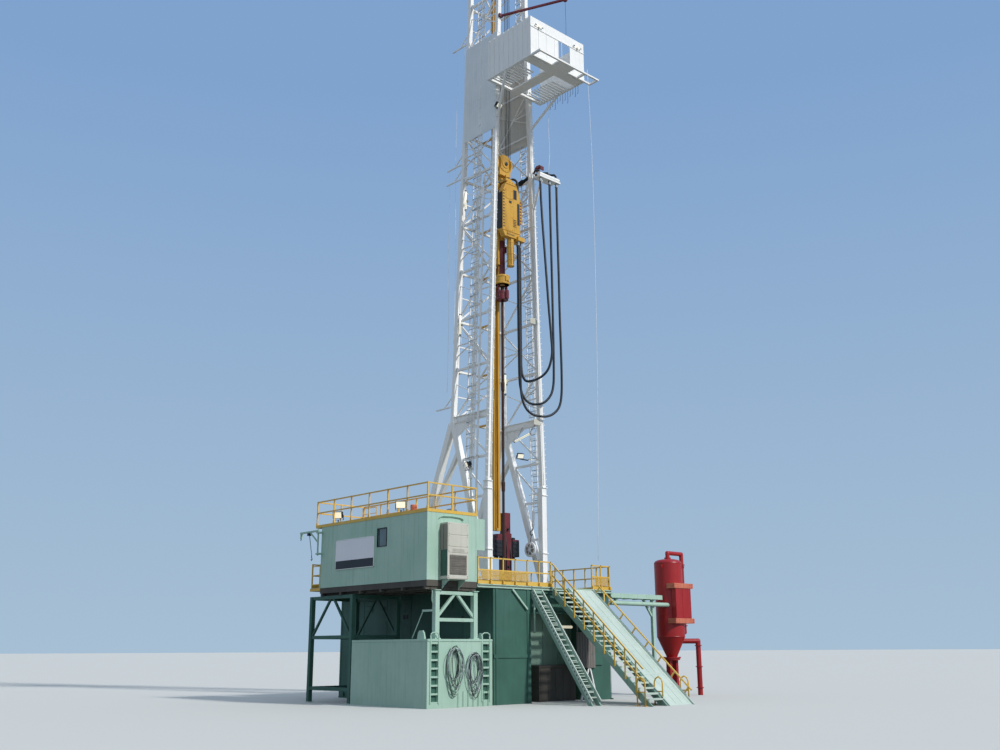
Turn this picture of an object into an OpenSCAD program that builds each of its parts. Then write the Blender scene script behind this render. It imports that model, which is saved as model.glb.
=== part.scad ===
// Land drilling rig as a 1:2 scale model, in millimetres of the model.
// The V-door faces +X and the doghouse stands on the -Y side. The modules are drawn about the well axis,
// and the origin lies under the middle of the driller's side box.

/* [Drill floor] */
// Height of the deck above the ground
floor_h = 2350; // [2200:10:2500]
// Distance from the well to the front edge of the deck
floor_front = 2460; // [2400:10:2600]
// Distance from the well to the rear edge of the deck
floor_rear = 2950; // [2900:10:3200]
// Distance from the well to the deck's edge beside the doghouse
floor_driller = 3000; // [2900:10:3020]
// Distance from the well to the far edge of the deck
floor_far = 1020; // [1010:5:1100]
// Thickness of the deck
deck_t = 80; // [60:5:120]
// Radius of the opening over the well
rotary_r = 90; // [70:5:120]
// Width of the driller's side box
side_box_w = 1050; // [900:10:1100]
// Width of the far side box
far_box_w = 700; // [600:10:760]
// Height of a handrail
rail_h = 535; // [480:5:600]
// Width of a handrail tube
rail_tube = 25; // [20:1:35]
// Height of a kick plate
kick_h = 90; // [60:5:120]

/* [Ramp and stairs] */
// Slope of the ramp and of the floor stair
ramp_angle = 41.8; // [38:0.2:46]
// Width of the V-door ramp
ramp_w = 790; // [700:10:840]
// Width of the floor stair
stair_w = 470; // [400:10:560]
// Width of a stair stringer
stringer_w = 30; // [20:1:45]
// Rise of one tread
tread_rise = 100; // [90:1:120]
// Slope of the service stair
service_angle = 54; // [50:1:58]
// Width of the service stair
service_w = 260; // [220:10:320]

/* [Doghouse] */
// Outside length of the doghouse
dog_l = 3685; // [3500:5:3800]
// Outside width of the doghouse
dog_w = 1280; // [1200:5:1400]
// Height of the doghouse from floor to roof
dog_h = 1360; // [1250:5:1450]
// Thickness of a wall
dog_wall = 45; // [35:1:60]
// Thickness of the floor frame
dog_base_t = 120; // [100:5:160]
// Width of the window
window_w = 295; // [260:5:420]
// Height of the window
window_h = 350; // [300:10:480]
// Height of the window sill over the floor
window_sill = 745; // [600:5:800]
// Width of a doorway
door_w = 450; // [400:10:500]
// Height of a doorway
door_h = 1050; // [950:10:1100]
// Height of the tool box that carries the front tower
tool_box_h = 1265; // [1150:5:1350]
// Length of the tool box
tool_box_l = 2470; // [2400:10:2700]
// Length of the landing behind the doghouse
landing_l = 400; // [350:5:450]
// How far the roof reaches over the rear landing
roof_over = 240; // [180:5:300]
// Width of a tower column
tower_col = 100; // [80:2:120]

/* [Mast] */
// Half the distance between the legs at the foot
mast_half = 905; // [860:5:930]
// How much each side leans in for every millimetre of height
mast_lean = 0.031; // [0.028:0.001:0.034]
// Height where the sides begin to lean in
mast_knee = 4750; // [4600:10:4900]
// Height where the sides become parallel
mast_parallel = 18200; // [17500:50:19000]
// Distance from the well to the front legs
mast_front = 445; // [430:5:460]
// Distance from the well to the rear legs at the A-frame
mast_rear = 875; // [850:5:900]
// How much the rear face leans forward for every millimetre of height
rear_lean = 0.0157; // [0.012:0.0001:0.017]
// Height of the mast's rear feet on the A-frame
apex_h = 6500; // [6400:50:6600]
// Height of one bay of the lattice
bay_h = 1300; // [1280:5:1310]
// Width of a mast leg
leg_w = 110; // [90:2:130]
// Width of the strengthened lower leg
foot_w = 150; // [130:2:180]
// Width of a girt
girt_w = 52; // [44:1:64]
// Width of a diagonal
diagonal_w = 36; // [28:1:42]
// Distance of the A-frame's rear feet from the well
a_frame_foot = 2600; // [2500:10:2700]
// Width of an A-frame strut
a_frame_w = 150; // [120:5:180]

/* [Racking board] */
// Height of the board above the ground
board_h = 15350; // [15200:10:15500]
// Height of the board's wind walls
board_wall_h = 1040; // [900:10:1150]
// Distance from the well to the front wind wall
board_front = 2125; // [2000:5:2200]
// Half the width of the board
board_half = 970; // [900:5:1050]
// Distance from the well to the outer walkway's edge
walkway_front = 2450; // [2400:5:2550]
// Number of fingers on each side
finger_count = 10; // [6:1:12]

/* [Travelling gear] */
// Height of the travelling block's centre above the top drive
block_gap = 560; // [540:5:640]
// Radius of the travelling block
block_r = 264; // [240:2:270]
// Radius of a sheave at its rope
sheave_r = 215; // [200:1:216]
// Height of the underside of the top drive
drive_h = 11250; // [11200:5:11300]
// Height of the top drive's housing
drive_body_h = 1560; // [1500:5:1600]
// Half the width of the top drive's housing
drive_half = 245; // [220:5:260]
// Half the width of the top drive's front cover
cover_half = 310; // [280:5:330]
// Distance from the well to the face of the front cover
cover_front = 360; // [330:5:375]
// Width of one guide rail
guide_w = 65; // [55:1:75]
// Distance from the well to the guide rails
guide_x = 250; // [245:1:270]
// Height of the foot of the guide rails
guide_foot = 3900; // [3800:10:4000]
// Radius of the drill pipe
pipe_r = 32; // [26:1:36]
// Radius of a service hose
hose_r = 30; // [24:1:32]

/* [Gas separator] */
// Distance of the separator from the well towards the ramp's foot
sep_x = 2200; // [2150:10:2300]
// Distance of the separator from the well to the far side
sep_y = 3430; // [3400:10:3500]
// Radius of the separator
sep_r = 335; // [320:5:345]
// Height of the straight part of the shell
sep_shell_h = 1735; // [1700:5:1800]
// Height of the shell's lower edge above the ground
sep_foot = 1345; // [1300:5:1400]
// Thickness of the shell
sep_wall = 12; // [8:1:16]
// Height of the cone under the shell
cone_h = 500; // [450:5:520]

/* [Hidden] */

green = "#8fc0a9";
dark_green = "#2f5f54";
yellow = "#f0b020";
white = "#f2f2f0";
red = "#b02028";
black = "#1c2630";
seat_gap = 0.3;
running_gap = 0.1;
gate_pin_r = 8;
move_gap = 10;
far = 60000;

deck_under = floor_h - deck_t;
far_box_edge = floor_far - 20;
side_box_edge = side_box_w + 1515;
box_front = floor_front - 20;

dog_x1 = floor_front;
dog_x0 = dog_x1 - dog_l;
dog_y1 = -floor_driller - 35;
dog_y0 = dog_y1 - dog_w;
dog_z0 = floor_h + 25;
dog_z1 = dog_z0 + dog_h;
landing_x0 = dog_x0 - landing_l;

crown_h = apex_h + 13 * bay_h;
guide_top = crown_h - 900;
guide_y = guide_w / 2 + 38;
sheave_xs = [for (i = [0:3]) -90 + 60 * i];
crown_axis_h = crown_h + 330;
line_r = 8;
line_y = sheave_r + line_r + seat_gap;
drive_top = drive_h + drive_body_h;
block_h = drive_top + block_gap;
stem_foot = drive_h - 690;
handler_h = drive_h - 1200;
elevator_h = drive_h - 1600;

well_x = (floor_rear - box_front) / 2;
well_y = side_box_edge - side_box_w / 2;

// From the well axis to the part's frame
module placed() {
    translate([well_x, well_y, 0]) children();
}

// Half width of the mast at height z
function half_at(z) = z < mast_knee ? mast_half
    : mast_half - mast_lean * (min(z, mast_parallel) - mast_knee);

// Place of the rear face of the mast at height z
function rear_at(z) = -mast_rear + rear_lean * (max(z, apex_h) - apex_h);

// Place of the slanted lower leg at height z
foot_x = mast_front + 60;
function slant_at(z) = rear_at(apex_h)
    + (foot_x - rear_at(apex_h)) * (apex_h - z) / (apex_h - floor_h - 150);

// A square bar from one point to another
module bar(from, to, w) {
    d = to - from;
    l = norm(d);
    translate(from)
        rotate([-asin(d.y / l), atan2(d.x, d.z), 0])
            translate([-w / 2, -w / 2, 0])
                cube([w, w, l]);
}

// A rail along +X with its posts, a middle rail and a kick plate
module rail_run(l, posts, kick = kick_h, h = rail_h) {
    for (i = [0:posts - 1])
        translate([i * (l - rail_tube) / (posts - 1), 0, 0]) cube([rail_tube, rail_tube, h]);
    for (z = [h / 2, h - rail_tube])
        translate([0, 0, z]) cube([l, rail_tube, rail_tube]);
    if (kick > 0)
        cube([l, rail_tube / 3, kick]);
}

// What lies above a height
module above(z) {
    intersection() {
        children();
        translate([-far / 2, -far / 2, z]) cube(far);
    }
}

// What lies below a height
module below(z) {
    intersection() {
        children();
        translate([-far / 2, -far / 2, z - far]) cube(far);
    }
}

// Substructure

module side_boxes() {
    color(dark_green) {
        translate([-floor_rear, -side_box_edge, 0])
            cube([floor_rear + box_front, side_box_w, deck_under]);
        for (y = [-side_box_edge + 60, -side_box_edge + side_box_w - 110])
            translate([box_front, y, 0]) cube([15, 50, deck_under]);
        translate([box_front, -side_box_edge, 900]) cube([18, side_box_w, 70]);
        translate([-floor_rear, far_box_edge - far_box_w, 0])
            cube([floor_rear + box_front - 60, far_box_w, deck_under]);
        translate([box_front - 60, far_box_edge - far_box_w - 40, 730]) cube([30, 460, 720]);
    }
}

module floor_beams() {
    span = side_box_edge - side_box_w + far_box_edge - far_box_w;
    color(dark_green)
        for (x = [-a_frame_foot - 90, -900, mast_front - 120, box_front - 160])
            difference() {
                translate([x, far_box_edge - far_box_w - span, deck_under - 400]) cube([140, span, 400]);
                for (dx = [-1, 100])
                    translate([x + dx, far_box_edge - far_box_w - span + 60, deck_under - 340])
                        cube([41, span - 120, 280]);
            }
}

well = 300;
panel_gap = 4;

module drill_floor() {
    color("#4a5a52")
        translate([0, 0, deck_under]) {
            translate([-floor_rear, -floor_driller, 0])
                cube([floor_rear + floor_front, floor_driller - well - panel_gap, deck_t]);
            translate([-floor_rear, well + panel_gap, 0])
                cube([floor_rear + floor_front, floor_far - well - panel_gap, deck_t]);
            translate([-floor_rear, -well, 0])
                cube([floor_rear - well - panel_gap, 2 * well, deck_t]);
            translate([well + panel_gap, -well, 0])
                cube([floor_front - well - panel_gap, 2 * well, deck_t]);
        }
}

module rotary_table() {
    color("#4a5a52")
        difference() {
            union() {
                translate([-well, -well, deck_under - 60]) cube([2 * well, 2 * well, deck_t + 60]);
                translate([0, 0, floor_h]) cylinder(r = rotary_r + 130, h = 30, $fn = 48);
            }
            translate([0, 0, deck_under - 61]) cylinder(r = rotary_r, h = deck_t + 100, $fn = 48);
        }
}

stair_y0 = -ramp_w / 2 - 10 - stair_w;

module floor_rails_front() {
    color(yellow) {
        translate([floor_front - rail_tube, -floor_driller + 20, floor_h])
            rotate(90) mirror([0, 1, 0]) translate([0, -rail_tube, 0])
                rail_run(floor_driller - 20 + stair_y0, 7);
        translate([floor_front - rail_tube, ramp_w / 2 + 15, floor_h])
            rotate(90) mirror([0, 1, 0]) translate([0, -rail_tube, 0])
                rail_run(floor_far - ramp_w / 2 - 15, 3);
    }
}

module floor_rails_back() {
    side = floor_rear + dog_x0 - rail_tube - 5;
    color(yellow) {
        translate([-floor_rear, floor_far - rail_tube, floor_h])
            rail_run(floor_rear + floor_front - 2 * rail_tube - 5, 16);
        translate([-floor_rear + rail_tube, -floor_driller, floor_h])
            rotate(90) rail_run(floor_driller + floor_far - rail_tube - 5, 12);
        translate([-floor_rear + rail_tube + 5, -floor_driller, floor_h]) rail_run(side, 6);
    }
}

// Ramp and stairs

ramp_drop = floor_h - 25;
ramp_len = ramp_drop / sin(ramp_angle);
ramp_run = ramp_drop / tan(ramp_angle);

// Something that lies along the slope from the deck's front edge, cut off at the ground
module on_slope(y) {
    intersection() {
        translate([floor_front + 5, y, ramp_drop]) rotate([0, ramp_angle, 0]) children();
        translate([floor_front + seat_gap, -far / 2, 0]) cube(far);
    }
}

module v_door_ramp() {
    color("#dcebe0")
        on_slope(-ramp_w / 2) {
            translate([0, 0, -60]) cube([ramp_len + 90, ramp_w, 60]);
            for (y = [0, ramp_w - 25]) translate([0, y, -60]) cube([ramp_len + 90, 25, 95]);
        }
}

service_top = deck_under - 30;
service_y = -side_box_edge + side_box_w + 25;
service_x = box_front + 20;

module stair_stringers() {
    color(green) {
        on_slope(stair_y0)
            for (y = [0, stair_w - stringer_w])
                translate([0, y, -120]) cube([ramp_len + 130, stringer_w, 130]);
        intersection() {
            for (dy = [0, service_w - stringer_w])
                translate([service_x, service_y + dy, service_top]) rotate([0, service_angle, 0])
                    translate([0, 0, -90]) cube([service_top / sin(service_angle) + 80, stringer_w, 100]);
            translate([box_front, -far / 2, 0]) cube(far);
        }
        translate([box_front - 20 + seat_gap, service_y + 5, deck_under - 70]) cube([100, service_w - 10, 60]);
    }
}

// The treads of a flight, between its stringers
module treads(x, y, top, angle, w, back, depth) {
    for (i = [1:floor((top - 60) / tread_rise)])
        translate([x + i * tread_rise / tan(angle) - back, y + stringer_w, top - i * tread_rise])
            cube([depth, w - 2 * stringer_w, 14]);
}

module stair_treads() {
    color(green) {
        treads(floor_front + 5, stair_y0, ramp_drop, ramp_angle, stair_w, 60, 125);
        treads(service_x, service_y, service_top, service_angle, service_w, 75, 90);
    }
}

// A sloping handrail whose posts are fixed to the outside of a stringer
module sloping_rail(y, h, posts, l) {
    step = l * cos(ramp_angle) / posts;
    for (i = [0:posts - 1])
        translate([floor_front + 90 + i * step, y + 2, ramp_drop - (110 + i * step) * tan(ramp_angle) - 60])
            cube([rail_tube, rail_tube - 4, h + 62]);
    for (lift = [h / 2, h - rail_tube])
        above(lift / 2)
            translate([floor_front + 5, y, ramp_drop + lift]) rotate([0, ramp_angle, 0])
                cube([l, rail_tube, rail_tube]);
}

module stair_rails() {
    color(yellow) {
        sloping_rail(stair_y0 - rail_tube - seat_gap, rail_h, 9, ramp_len - 260);
        on_slope(ramp_w / 2)
            translate([60, 0, 165]) cube([ramp_len - 260, rail_tube, rail_tube]);
        on_slope(ramp_w / 2)
            for (i = [0:7])
                translate([90 + i * (ramp_len - 400) / 7, 0, -20]) cube([rail_tube, rail_tube, 190]);
    }
}

// Doghouse

module doghouse_base() {
    color(dark_green) {
        translate([dog_x0, dog_y0, dog_z0 - dog_base_t]) cube([dog_l, dog_w, dog_base_t]);
        for (i = [0:5])
            translate([dog_x0 + 30 + i * (dog_l - 120) / 5, dog_y0, dog_z0 - dog_base_t - 60])
                cube([60, dog_w, 60]);
        for (x = [dog_x0 + 400, dog_x0 + 1700, dog_x0 + 3000])
            translate([x, dog_y1 - 1, deck_under + 5]) cube([120, 36 - seat_gap, deck_t - 10]);
    }
}

wall_h = dog_h - 30;
door_x = dog_x0 + 500;
window_x = dog_x1 - window_w - 1320;
roof_x0 = dog_x0 - roof_over;
inner_window_x = dog_x1 - 1500;
inner_window_w = 2.5 * window_w;
rear_door_y = dog_y0 + 500;

module doghouse_end_walls() {
    color(green) {
        translate([dog_x1 - dog_wall, dog_y0 + dog_wall, dog_z0])
            cube([dog_wall, dog_w - 2 * dog_wall, wall_h]);
        difference() {
            translate([dog_x0, dog_y0 + dog_wall, dog_z0])
                cube([dog_wall, dog_w - 2 * dog_wall, wall_h]);
            translate([dog_x0 - 1, rear_door_y, dog_z0 - 1]) cube([dog_wall + 2, door_w, door_h + 1]);
        }
    }
}

module doghouse_outer_wall() {
    color(green) {
        difference() {
            translate([dog_x0, dog_y0, dog_z0]) cube([dog_l, dog_wall, wall_h]);
            translate([window_x, dog_y0 - 1, dog_z0 + window_sill])
                cube([window_w, dog_wall + 2, window_h]);
        }
        davit_eyes();
    }
}

module doghouse_inner_wall() {
    color(green) {
        difference() {
            translate([dog_x0, dog_y1 - dog_wall, dog_z0]) cube([dog_l, dog_wall, wall_h]);
            translate([inner_window_x, dog_y1 - dog_wall - 1, dog_z0 + window_sill])
                cube([inner_window_w, dog_wall + 2, window_h]);
            translate([door_x, dog_y1 - dog_wall - 1, dog_z0 - 1])
                cube([door_w, dog_wall + 2, door_h + 1]);
        }
        translate([dog_x1 - 40, dog_y1, floor_h + 660]) cube([30, 230, dog_h - 730]);
    }
}

module doghouse_roof() {
    color(green)
        translate([roof_x0, dog_y0, dog_z0 + wall_h]) cube([dog_x1 - roof_x0, dog_w, dog_z1 - dog_z0 - wall_h]);
}

module roof_rails() {
    l = dog_x1 - roof_x0;
    color(yellow) {
        difference() {
            translate([roof_x0 - 8, dog_y0 - 8, dog_z1 - 50]) cube([l + 16, dog_w + 16, 62]);
            translate([roof_x0, dog_y0, dog_z1 - 51]) cube([l, dog_w, 64]);
        }
        translate([roof_x0, dog_y0, dog_z1]) rail_run(l, 7, 0);
        translate([roof_x0, dog_y1 - rail_tube, dog_z1]) rail_run(l, 7, 0);
        for (x = [roof_x0, dog_x1 - rail_tube])
            translate([x + rail_tube, dog_y0, dog_z1]) rotate(90) rail_run(dog_w, 3, 0);
    }
}

module window_panes() {
    color("#33454a") {
        translate([window_x, dog_y0 + dog_wall / 2 - 4, dog_z0 + window_sill]) cube([window_w, 8, window_h]);
        translate([inner_window_x, dog_y1 - dog_wall / 2 - 4, dog_z0 + window_sill])
            cube([inner_window_w, 8, window_h]);
    }
}

module doghouse_doors() {
    leaf_t = dog_wall - 10;
    color(dark_green) {
        translate([door_x, dog_y1 - dog_wall + 5, dog_z0]) cube([door_w, leaf_t, door_h]);
        translate([dog_x0 + 5, rear_door_y, dog_z0]) cube([leaf_t, door_w, door_h]);
    }
}

module air_conditioner() {
    w = 535;
    h = 1090;
    color("#c9c7b5")
        difference() {
            translate([dog_x1, dog_y0 + 330, dog_z0 + 15]) cube([230, w, h]);
            translate([dog_x1 + 215, dog_y0 + 380, dog_z0 + 90]) cube([20, w - 100, 380]);
            translate([dog_x1 + 222, dog_y0 + 440, dog_z0 + 520]) cube([20, w - 220, 60]);
        }
}

module notice_board() {
    color("#d8d8e4")
        translate([dog_x0 + 593, dog_y0 - 14, dog_z0 + 357]) cube([1363, 14, 604]);
}

// A floodlight on a stand, turned about its post
module floodlight(x, y, turn) {
    translate([x, y, dog_z1]) rotate(turn) {
        translate([-12, -12, 0]) cube([24, 24, 130]);
        translate([-70, -50, 0]) cube([140, 100, 12]);
        translate([-85, -60, 110]) rotate([-25, 0, 0]) cube([170, 110, 150]);
    }
}

module roof_lamps() {
    color("#58606a") {
        floodlight(dog_x0 + 370, dog_y0 + 160, 0);
        floodlight(dog_x0 + 2610, dog_y0 + 170, 0);
        translate([dog_x0 + 3055, dog_y0 + 150, dog_z1]) cylinder(r = 70, h = 150, $fn = 32);
        translate([dog_x1 - 250, dog_y0 + 820, dog_z1]) cylinder(r = 110, h = 90, $fn = 32);
    }
}

module front_tower() {
    base = tool_box_h;
    top = dog_z0 - dog_base_t - 60;
    x = dog_x1 - tower_col;
    ys = [dog_y0 + 230, dog_y1 - tower_col + 30];
    mid = (ys[0] + ys[1] + tower_col) / 2;
    color(green) {
        for (y = ys) translate([x, y, base]) cube([tower_col, tower_col, top - base]);
        for (z = [top - 90, base + 330])
            translate([x + 10, ys[0], z]) cube([tower_col - 20, ys[1] - ys[0] + 10, 65]);
        for (s = [0, 1])
            bar([x + tower_col / 2, mid + (s * 2 - 1) * 20, top - 60],
                [x + tower_col / 2, s ? ys[1] + 20 : ys[0] + tower_col - 20, base + 420], 52);
    }
}

module rear_tower() {
    top = dog_z0 - dog_base_t - 60;
    xs = [landing_x0 + 10, dog_x0 + 1130];
    ys = [dog_y0 + 10, dog_y1 - tower_col];
    color(dark_green) {
        for (x = xs, y = ys)
            translate([x, y, 0]) cube([tower_col - 10, tower_col - 10, top]);
        for (y = ys, z = [top - 70, 1300, 250])
            translate([xs[0], y + 15, z]) cube([xs[1] - xs[0], 60, 70]);
        for (x = xs, z = [top - 70, 1300, 250])
            translate([x + 15, ys[0], z]) cube([60, ys[1] - ys[0], 70]);
        for (y = ys) {
            mid = (xs[0] + xs[1] + tower_col) / 2;
            bar([mid - 30, y + 45, top - 30], [xs[0] + tower_col - 20, y + 45, 1350], 44);
            bar([mid + 30, y + 45, top - 30], [xs[1] + 10, y + 45, 1350], 44);
        }
    }
}

// The tool box with two ladder recesses in its end face
module tool_box() {
    x1 = dog_x1 + 50;
    y1 = -side_box_edge - 95;
    recess = 170;
    color(green)
        difference() {
            translate([x1 - tool_box_l, dog_y0, 0]) cube([tool_box_l, y1 - dog_y0, tool_box_h]);
            for (y = [dog_y0 + 90, y1 - 90 - recess])
                for (i = [0:6])
                    translate([x1 - 60, y, 120 + i * 155]) cube([61, recess, 120]);
        }
}

module rear_landing() {
    top = dog_z0;
    color(yellow) {
        translate([landing_x0, dog_y0, top - 60]) cube([landing_l, dog_w, 60]);
        translate([landing_x0 + rail_tube, dog_y0 + 30, top]) rotate(90) rail_run(dog_w - 30, 4);
        translate([landing_x0, dog_y1 - rail_tube, top]) rail_run(landing_l - 5, 2);
        translate([gate_x, gate_y, top]) {
            cylinder(r = gate_pin_r, h = 510, $fn = 24);
            cylinder(r = 14, h = 40 - seat_gap, $fn = 24);
        }
    }
}

gate_x = dog_x0 - 45;
gate_y = dog_y0 + 15;

module landing_gate() {
    reach = landing_l - 90;
    color(yellow)
        translate([gate_x, gate_y, dog_z0 + 40]) {
            difference() {
                union() {
                    cylinder(r = 14, h = 460, $fn = 24);
                    for (z = [30, 230, 425])
                        translate([-reach, -10, z]) cube([reach, 20, 20]);
                    translate([-reach, -10, 30]) cube([20, 20, 415]);
                }
                translate([0, 0, -1]) cylinder(r = gate_pin_r + running_gap, h = 462, $fn = 24);
            }
        }
}

davit_x = dog_x0 - 60;
davit_y = dog_y0 - 60;
davit_z = dog_z1 - 140;
davit_r = 18;

module davit_arm() {
    color(green) {
        translate([davit_x, davit_y, davit_z - 520]) cylinder(r = davit_r, h = 580, $fn = 24);
        translate([davit_x - 720, davit_y - 18, davit_z]) cube([735, 36, 36]);
        bar([davit_x - 8, davit_y, davit_z - 230], [davit_x - 330, davit_y, davit_z + 10], 24);
        translate([davit_x - 700, davit_y - 20, davit_z - 110]) cube([40, 40, 120]);
    }
}

// The two eyes that hold the davit's post at the doghouse's corner
module davit_eyes() {
    for (z = [davit_z - 500, davit_z - 40])
        difference() {
            translate([dog_x0 - 95, dog_y0 - 95, z]) cube([135, 105, 30]);
            translate([davit_x, davit_y, z - 1]) cylinder(r = davit_r + running_gap, h = 32, $fn = 24);
        }
}

// Mast

// Heights where a line up the mast's side bends, with its two ends
function bends(z0, z1) = concat([z0], [for (z = [mast_knee, mast_parallel]) if (z > z0 + 1 && z < z1 - 1) z], [z1]);

// A band of width w that follows the lean of side s, drawn along X from x over a length l
module band(s, out, w, x, l, z0, z1) {
    zs = bends(z0, z1);
    n = len(zs);
    translate([x, 0, 0]) rotate([90, 0, 90]) linear_extrude(l)
        polygon(concat([for (z = zs) [s * (half_at(z) + out) + w / 2, z]],
                       [for (i = [1:n]) [s * (half_at(zs[n - i]) + out) - w / 2, zs[n - i]]]));
}

// A rear leg, which also leans forward
module rear_leg(s, z0, z1) {
    intersection() {
        band(s, 0, leg_w, -2 * mast_rear, 2 * mast_rear, z0, z1);
        rotate([90, 0, 0]) translate([0, 0, -far / 2]) linear_extrude(far)
            polygon([[rear_at(z0) - leg_w / 2, z0], [rear_at(z0) + leg_w / 2, z0],
                     [rear_at(z1) + leg_w / 2, z1], [rear_at(z1) - leg_w / 2, z1]]);
    }
}

// The legs of one side, from the floor to the crown
module side_legs(s) {
    band(s, 0, leg_w, mast_front - leg_w / 2, leg_w, floor_h + 35, crown_h - seat_gap);
    rear_leg(s, apex_h, crown_h - seat_gap);
    bar([rear_at(apex_h), s * half_at(apex_h), apex_h],
        [foot_x - 70, s * mast_half, floor_h + 140], leg_w + 30);
    translate([mast_front + leg_w / 2 + 6 - foot_w,
               s > 0 ? mast_half + leg_w / 2 + 6 - foot_w : -mast_half - leg_w / 2 - 6, floor_h + 35])
        cube([foot_w, foot_w, 2500]);
    translate([mast_front - 160, s * mast_half - 85, floor_h]) cube([320, 170, 40]);
}

girts = [for (i = [0:13]) apex_h + i * bay_h];
low_girts = [5500, 4550, 3650];

// One whole side of the mast
module mast_side(s) {
    side_legs(s);
    for (i = [0:12]) {
        z = girts[i];
        up = min(z + bay_h, crown_h - 40);
        y = s * half_at(z);
        translate([rear_at(z), y - girt_w / 2, z - girt_w / 2])
            cube([mast_front - rear_at(z), girt_w, girt_w]);
        flip = i % 2 == 0;
        bar([flip ? rear_at(z) : mast_front, y, z], [flip ? mast_front : rear_at(up), s * half_at(up), up],
            diagonal_w);
        middle = z + bay_h / 2;
        middle_x = (mast_front + rear_at(middle)) / 2;
        translate([flip ? middle_x - 23 : rear_at(middle), s * half_at(middle) - 15, middle - 15])
            cube([mast_front - middle_x + 23, 30, 30]);
    }
    for (z = low_girts)
        translate([slant_at(z), s * half_at(z) - girt_w / 2, z - girt_w / 2])
            cube([mast_front - slant_at(z), girt_w, girt_w]);
    bar([slant_at(low_girts[0]), s * half_at(low_girts[0]), low_girts[0]],
        [mast_front, s * half_at(low_girts[1]), low_girts[1]], diagonal_w);
    bar([mast_front, s * half_at(low_girts[0]), low_girts[0]],
        [rear_at(apex_h) + 200, s * half_at(apex_h), apex_h], diagonal_w);
    translate([rear_at(apex_h) + 40, s * half_at(apex_h) - 12, apex_h - 380])
        rotate([90, 0, 0]) mirror([0, 0, 1])
            linear_extrude(24) polygon([[0, 0], [160, 0], [820, 380], [0, 380]]);
}

sheave_h = 3400;
sheave_x = slant_at(sheave_h);
sheave_y = mast_half - 205;

module mast_driller_side() { color(white) mast_side(-1); }

module mast_far_side() {
    color(white) {
        mast_side(1);
        translate([sheave_x, mast_half - 40, sheave_h]) rotate([90, 0, 0])
            cylinder(r = 30 - running_gap, h = 205, $fn = 32);
        translate([sheave_x, sheave_y - 28, sheave_h]) rotate([90, 0, 0]) cylinder(r = 44, h = 12, $fn = 32);
        translate([sheave_x, mast_half - 30, sheave_h]) rotate([90, 0, 0]) cylinder(r = 60, h = 110, $fn = 32);
    }
}

// The back of the mast between its rear legs
module mast_back() {
    color(white)
        difference() {
            for (i = [0:13]) {
                z = girts[i];
                down = i == 13 ? girt_w + seat_gap : girt_w / 2;
                translate([rear_at(z) - girt_w / 2, -half_at(z), z - down])
                    cube([girt_w, 2 * half_at(z), girt_w]);
                if (i < 13) {
                    s = i % 2 == 0 ? 1 : -1;
                    bar([rear_at(z), -s * half_at(z), z],
                        [rear_at(z + bay_h), s * half_at(z + bay_h), min(z + bay_h, crown_h - 60)],
                        diagonal_w);
                }
            }
            for (s = [-1, 1]) side_legs(s);
            for (s = [-1, 1], z = girts)
                translate([rear_at(z), s * half_at(z) - girt_w / 2, z - girt_w / 2])
                    cube([200, girt_w, girt_w]);
        }
}

// The A-frame's rear struts, with a brace to each
module a_frame() {
    color(white)
        difference() {
            for (s = [-1, 1]) {
                y = s * half_at(apex_h);
                foot = [-a_frame_foot, y, floor_h];
                head = [rear_at(apex_h) - 30, y, apex_h - 60];
                above(floor_h) bar(foot - (head - foot) * 0.05, head, a_frame_w);
                bar([slant_at(5800) + 20, y, 5800], foot + (head - foot) * 0.33, a_frame_w - 50);
                translate([-a_frame_foot - 130, y - 110, floor_h]) cube([260, 220, 60]);
            }
            for (s = [-1, 1]) mast_side(s);
        }
}

module crown_frame() {
    top_half = half_at(crown_h);
    x0 = rear_at(crown_h) - 120;
    l = mast_front - x0 + 120;
    color(white) {
        difference() {
            translate([x0, -top_half - 180, crown_h + seat_gap]) cube([l, 2 * top_half + 360, 60]);
            translate([-160, -300, crown_h - 1]) cube([320, 600, 62]);
        }
        for (x = [-190, 150])
            difference() {
                translate([x, -280, crown_h + 60]) cube([40, 560, 400]);
                translate([x - 1, 0, crown_axis_h]) rotate([0, 90, 0]) cylinder(r = 30, h = 42, $fn = 32);
            }
        for (y = [-top_half - 180, top_half + 180 - rail_tube])
            translate([x0, y, crown_h + 60]) rail_run(l, 4, 60);
        for (x = [x0, x0 + l - rail_tube])
            translate([x + rail_tube, -top_half - 180, crown_h + 60])
                rotate(90) rail_run(2 * top_half + 360, 4, 60);
    }
}

module crown_sheaves() {
    color(yellow)
        translate([0, 0, crown_axis_h]) rotate([0, 90, 0]) {
            translate([0, 0, -190]) cylinder(r = 30 - seat_gap, h = 380, $fn = 32);
            for (x = sheave_xs)
                translate([0, 0, x - 22]) rotate_extrude($fn = 64)
                    polygon([[20, 0], [sheave_r + 20, 0], [sheave_r + 20, 4], [sheave_r, 12],
                             [sheave_r, 32], [sheave_r + 20, 40], [sheave_r + 20, 44], [20, 44]]);
        }
}

module guide_rails() {
    color(yellow) {
        for (s = [-1, 1])
            translate([-guide_x - guide_w / 2, s * guide_y - guide_w / 2, guide_foot])
                cube([guide_w, guide_w, guide_top - guide_foot]);
        for (i = [0:12]) {
            z = girts[i];
            x0 = rear_at(z) + girt_w / 2;
            if (z < guide_top) {
                translate([x0, -20, z - 20]) cube([-guide_x - guide_w / 2 - x0, 40, 40]);
                translate([-guide_x - guide_w / 2 - 20, -guide_y - 20, z - 20]) cube([20, 2 * guide_y + 40, 40]);
            }
        }
        translate([-guide_x - guide_w / 2 - 40, -guide_y - guide_w / 2, guide_foot - 60])
            cube([guide_w + 40, 2 * guide_y + guide_w, 60]);
    }
}

wind_wall_foot = girts[6] - 240;
wind_wall_h = 2850;
ladder_x = 25;
ladder_w = 220;

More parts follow.
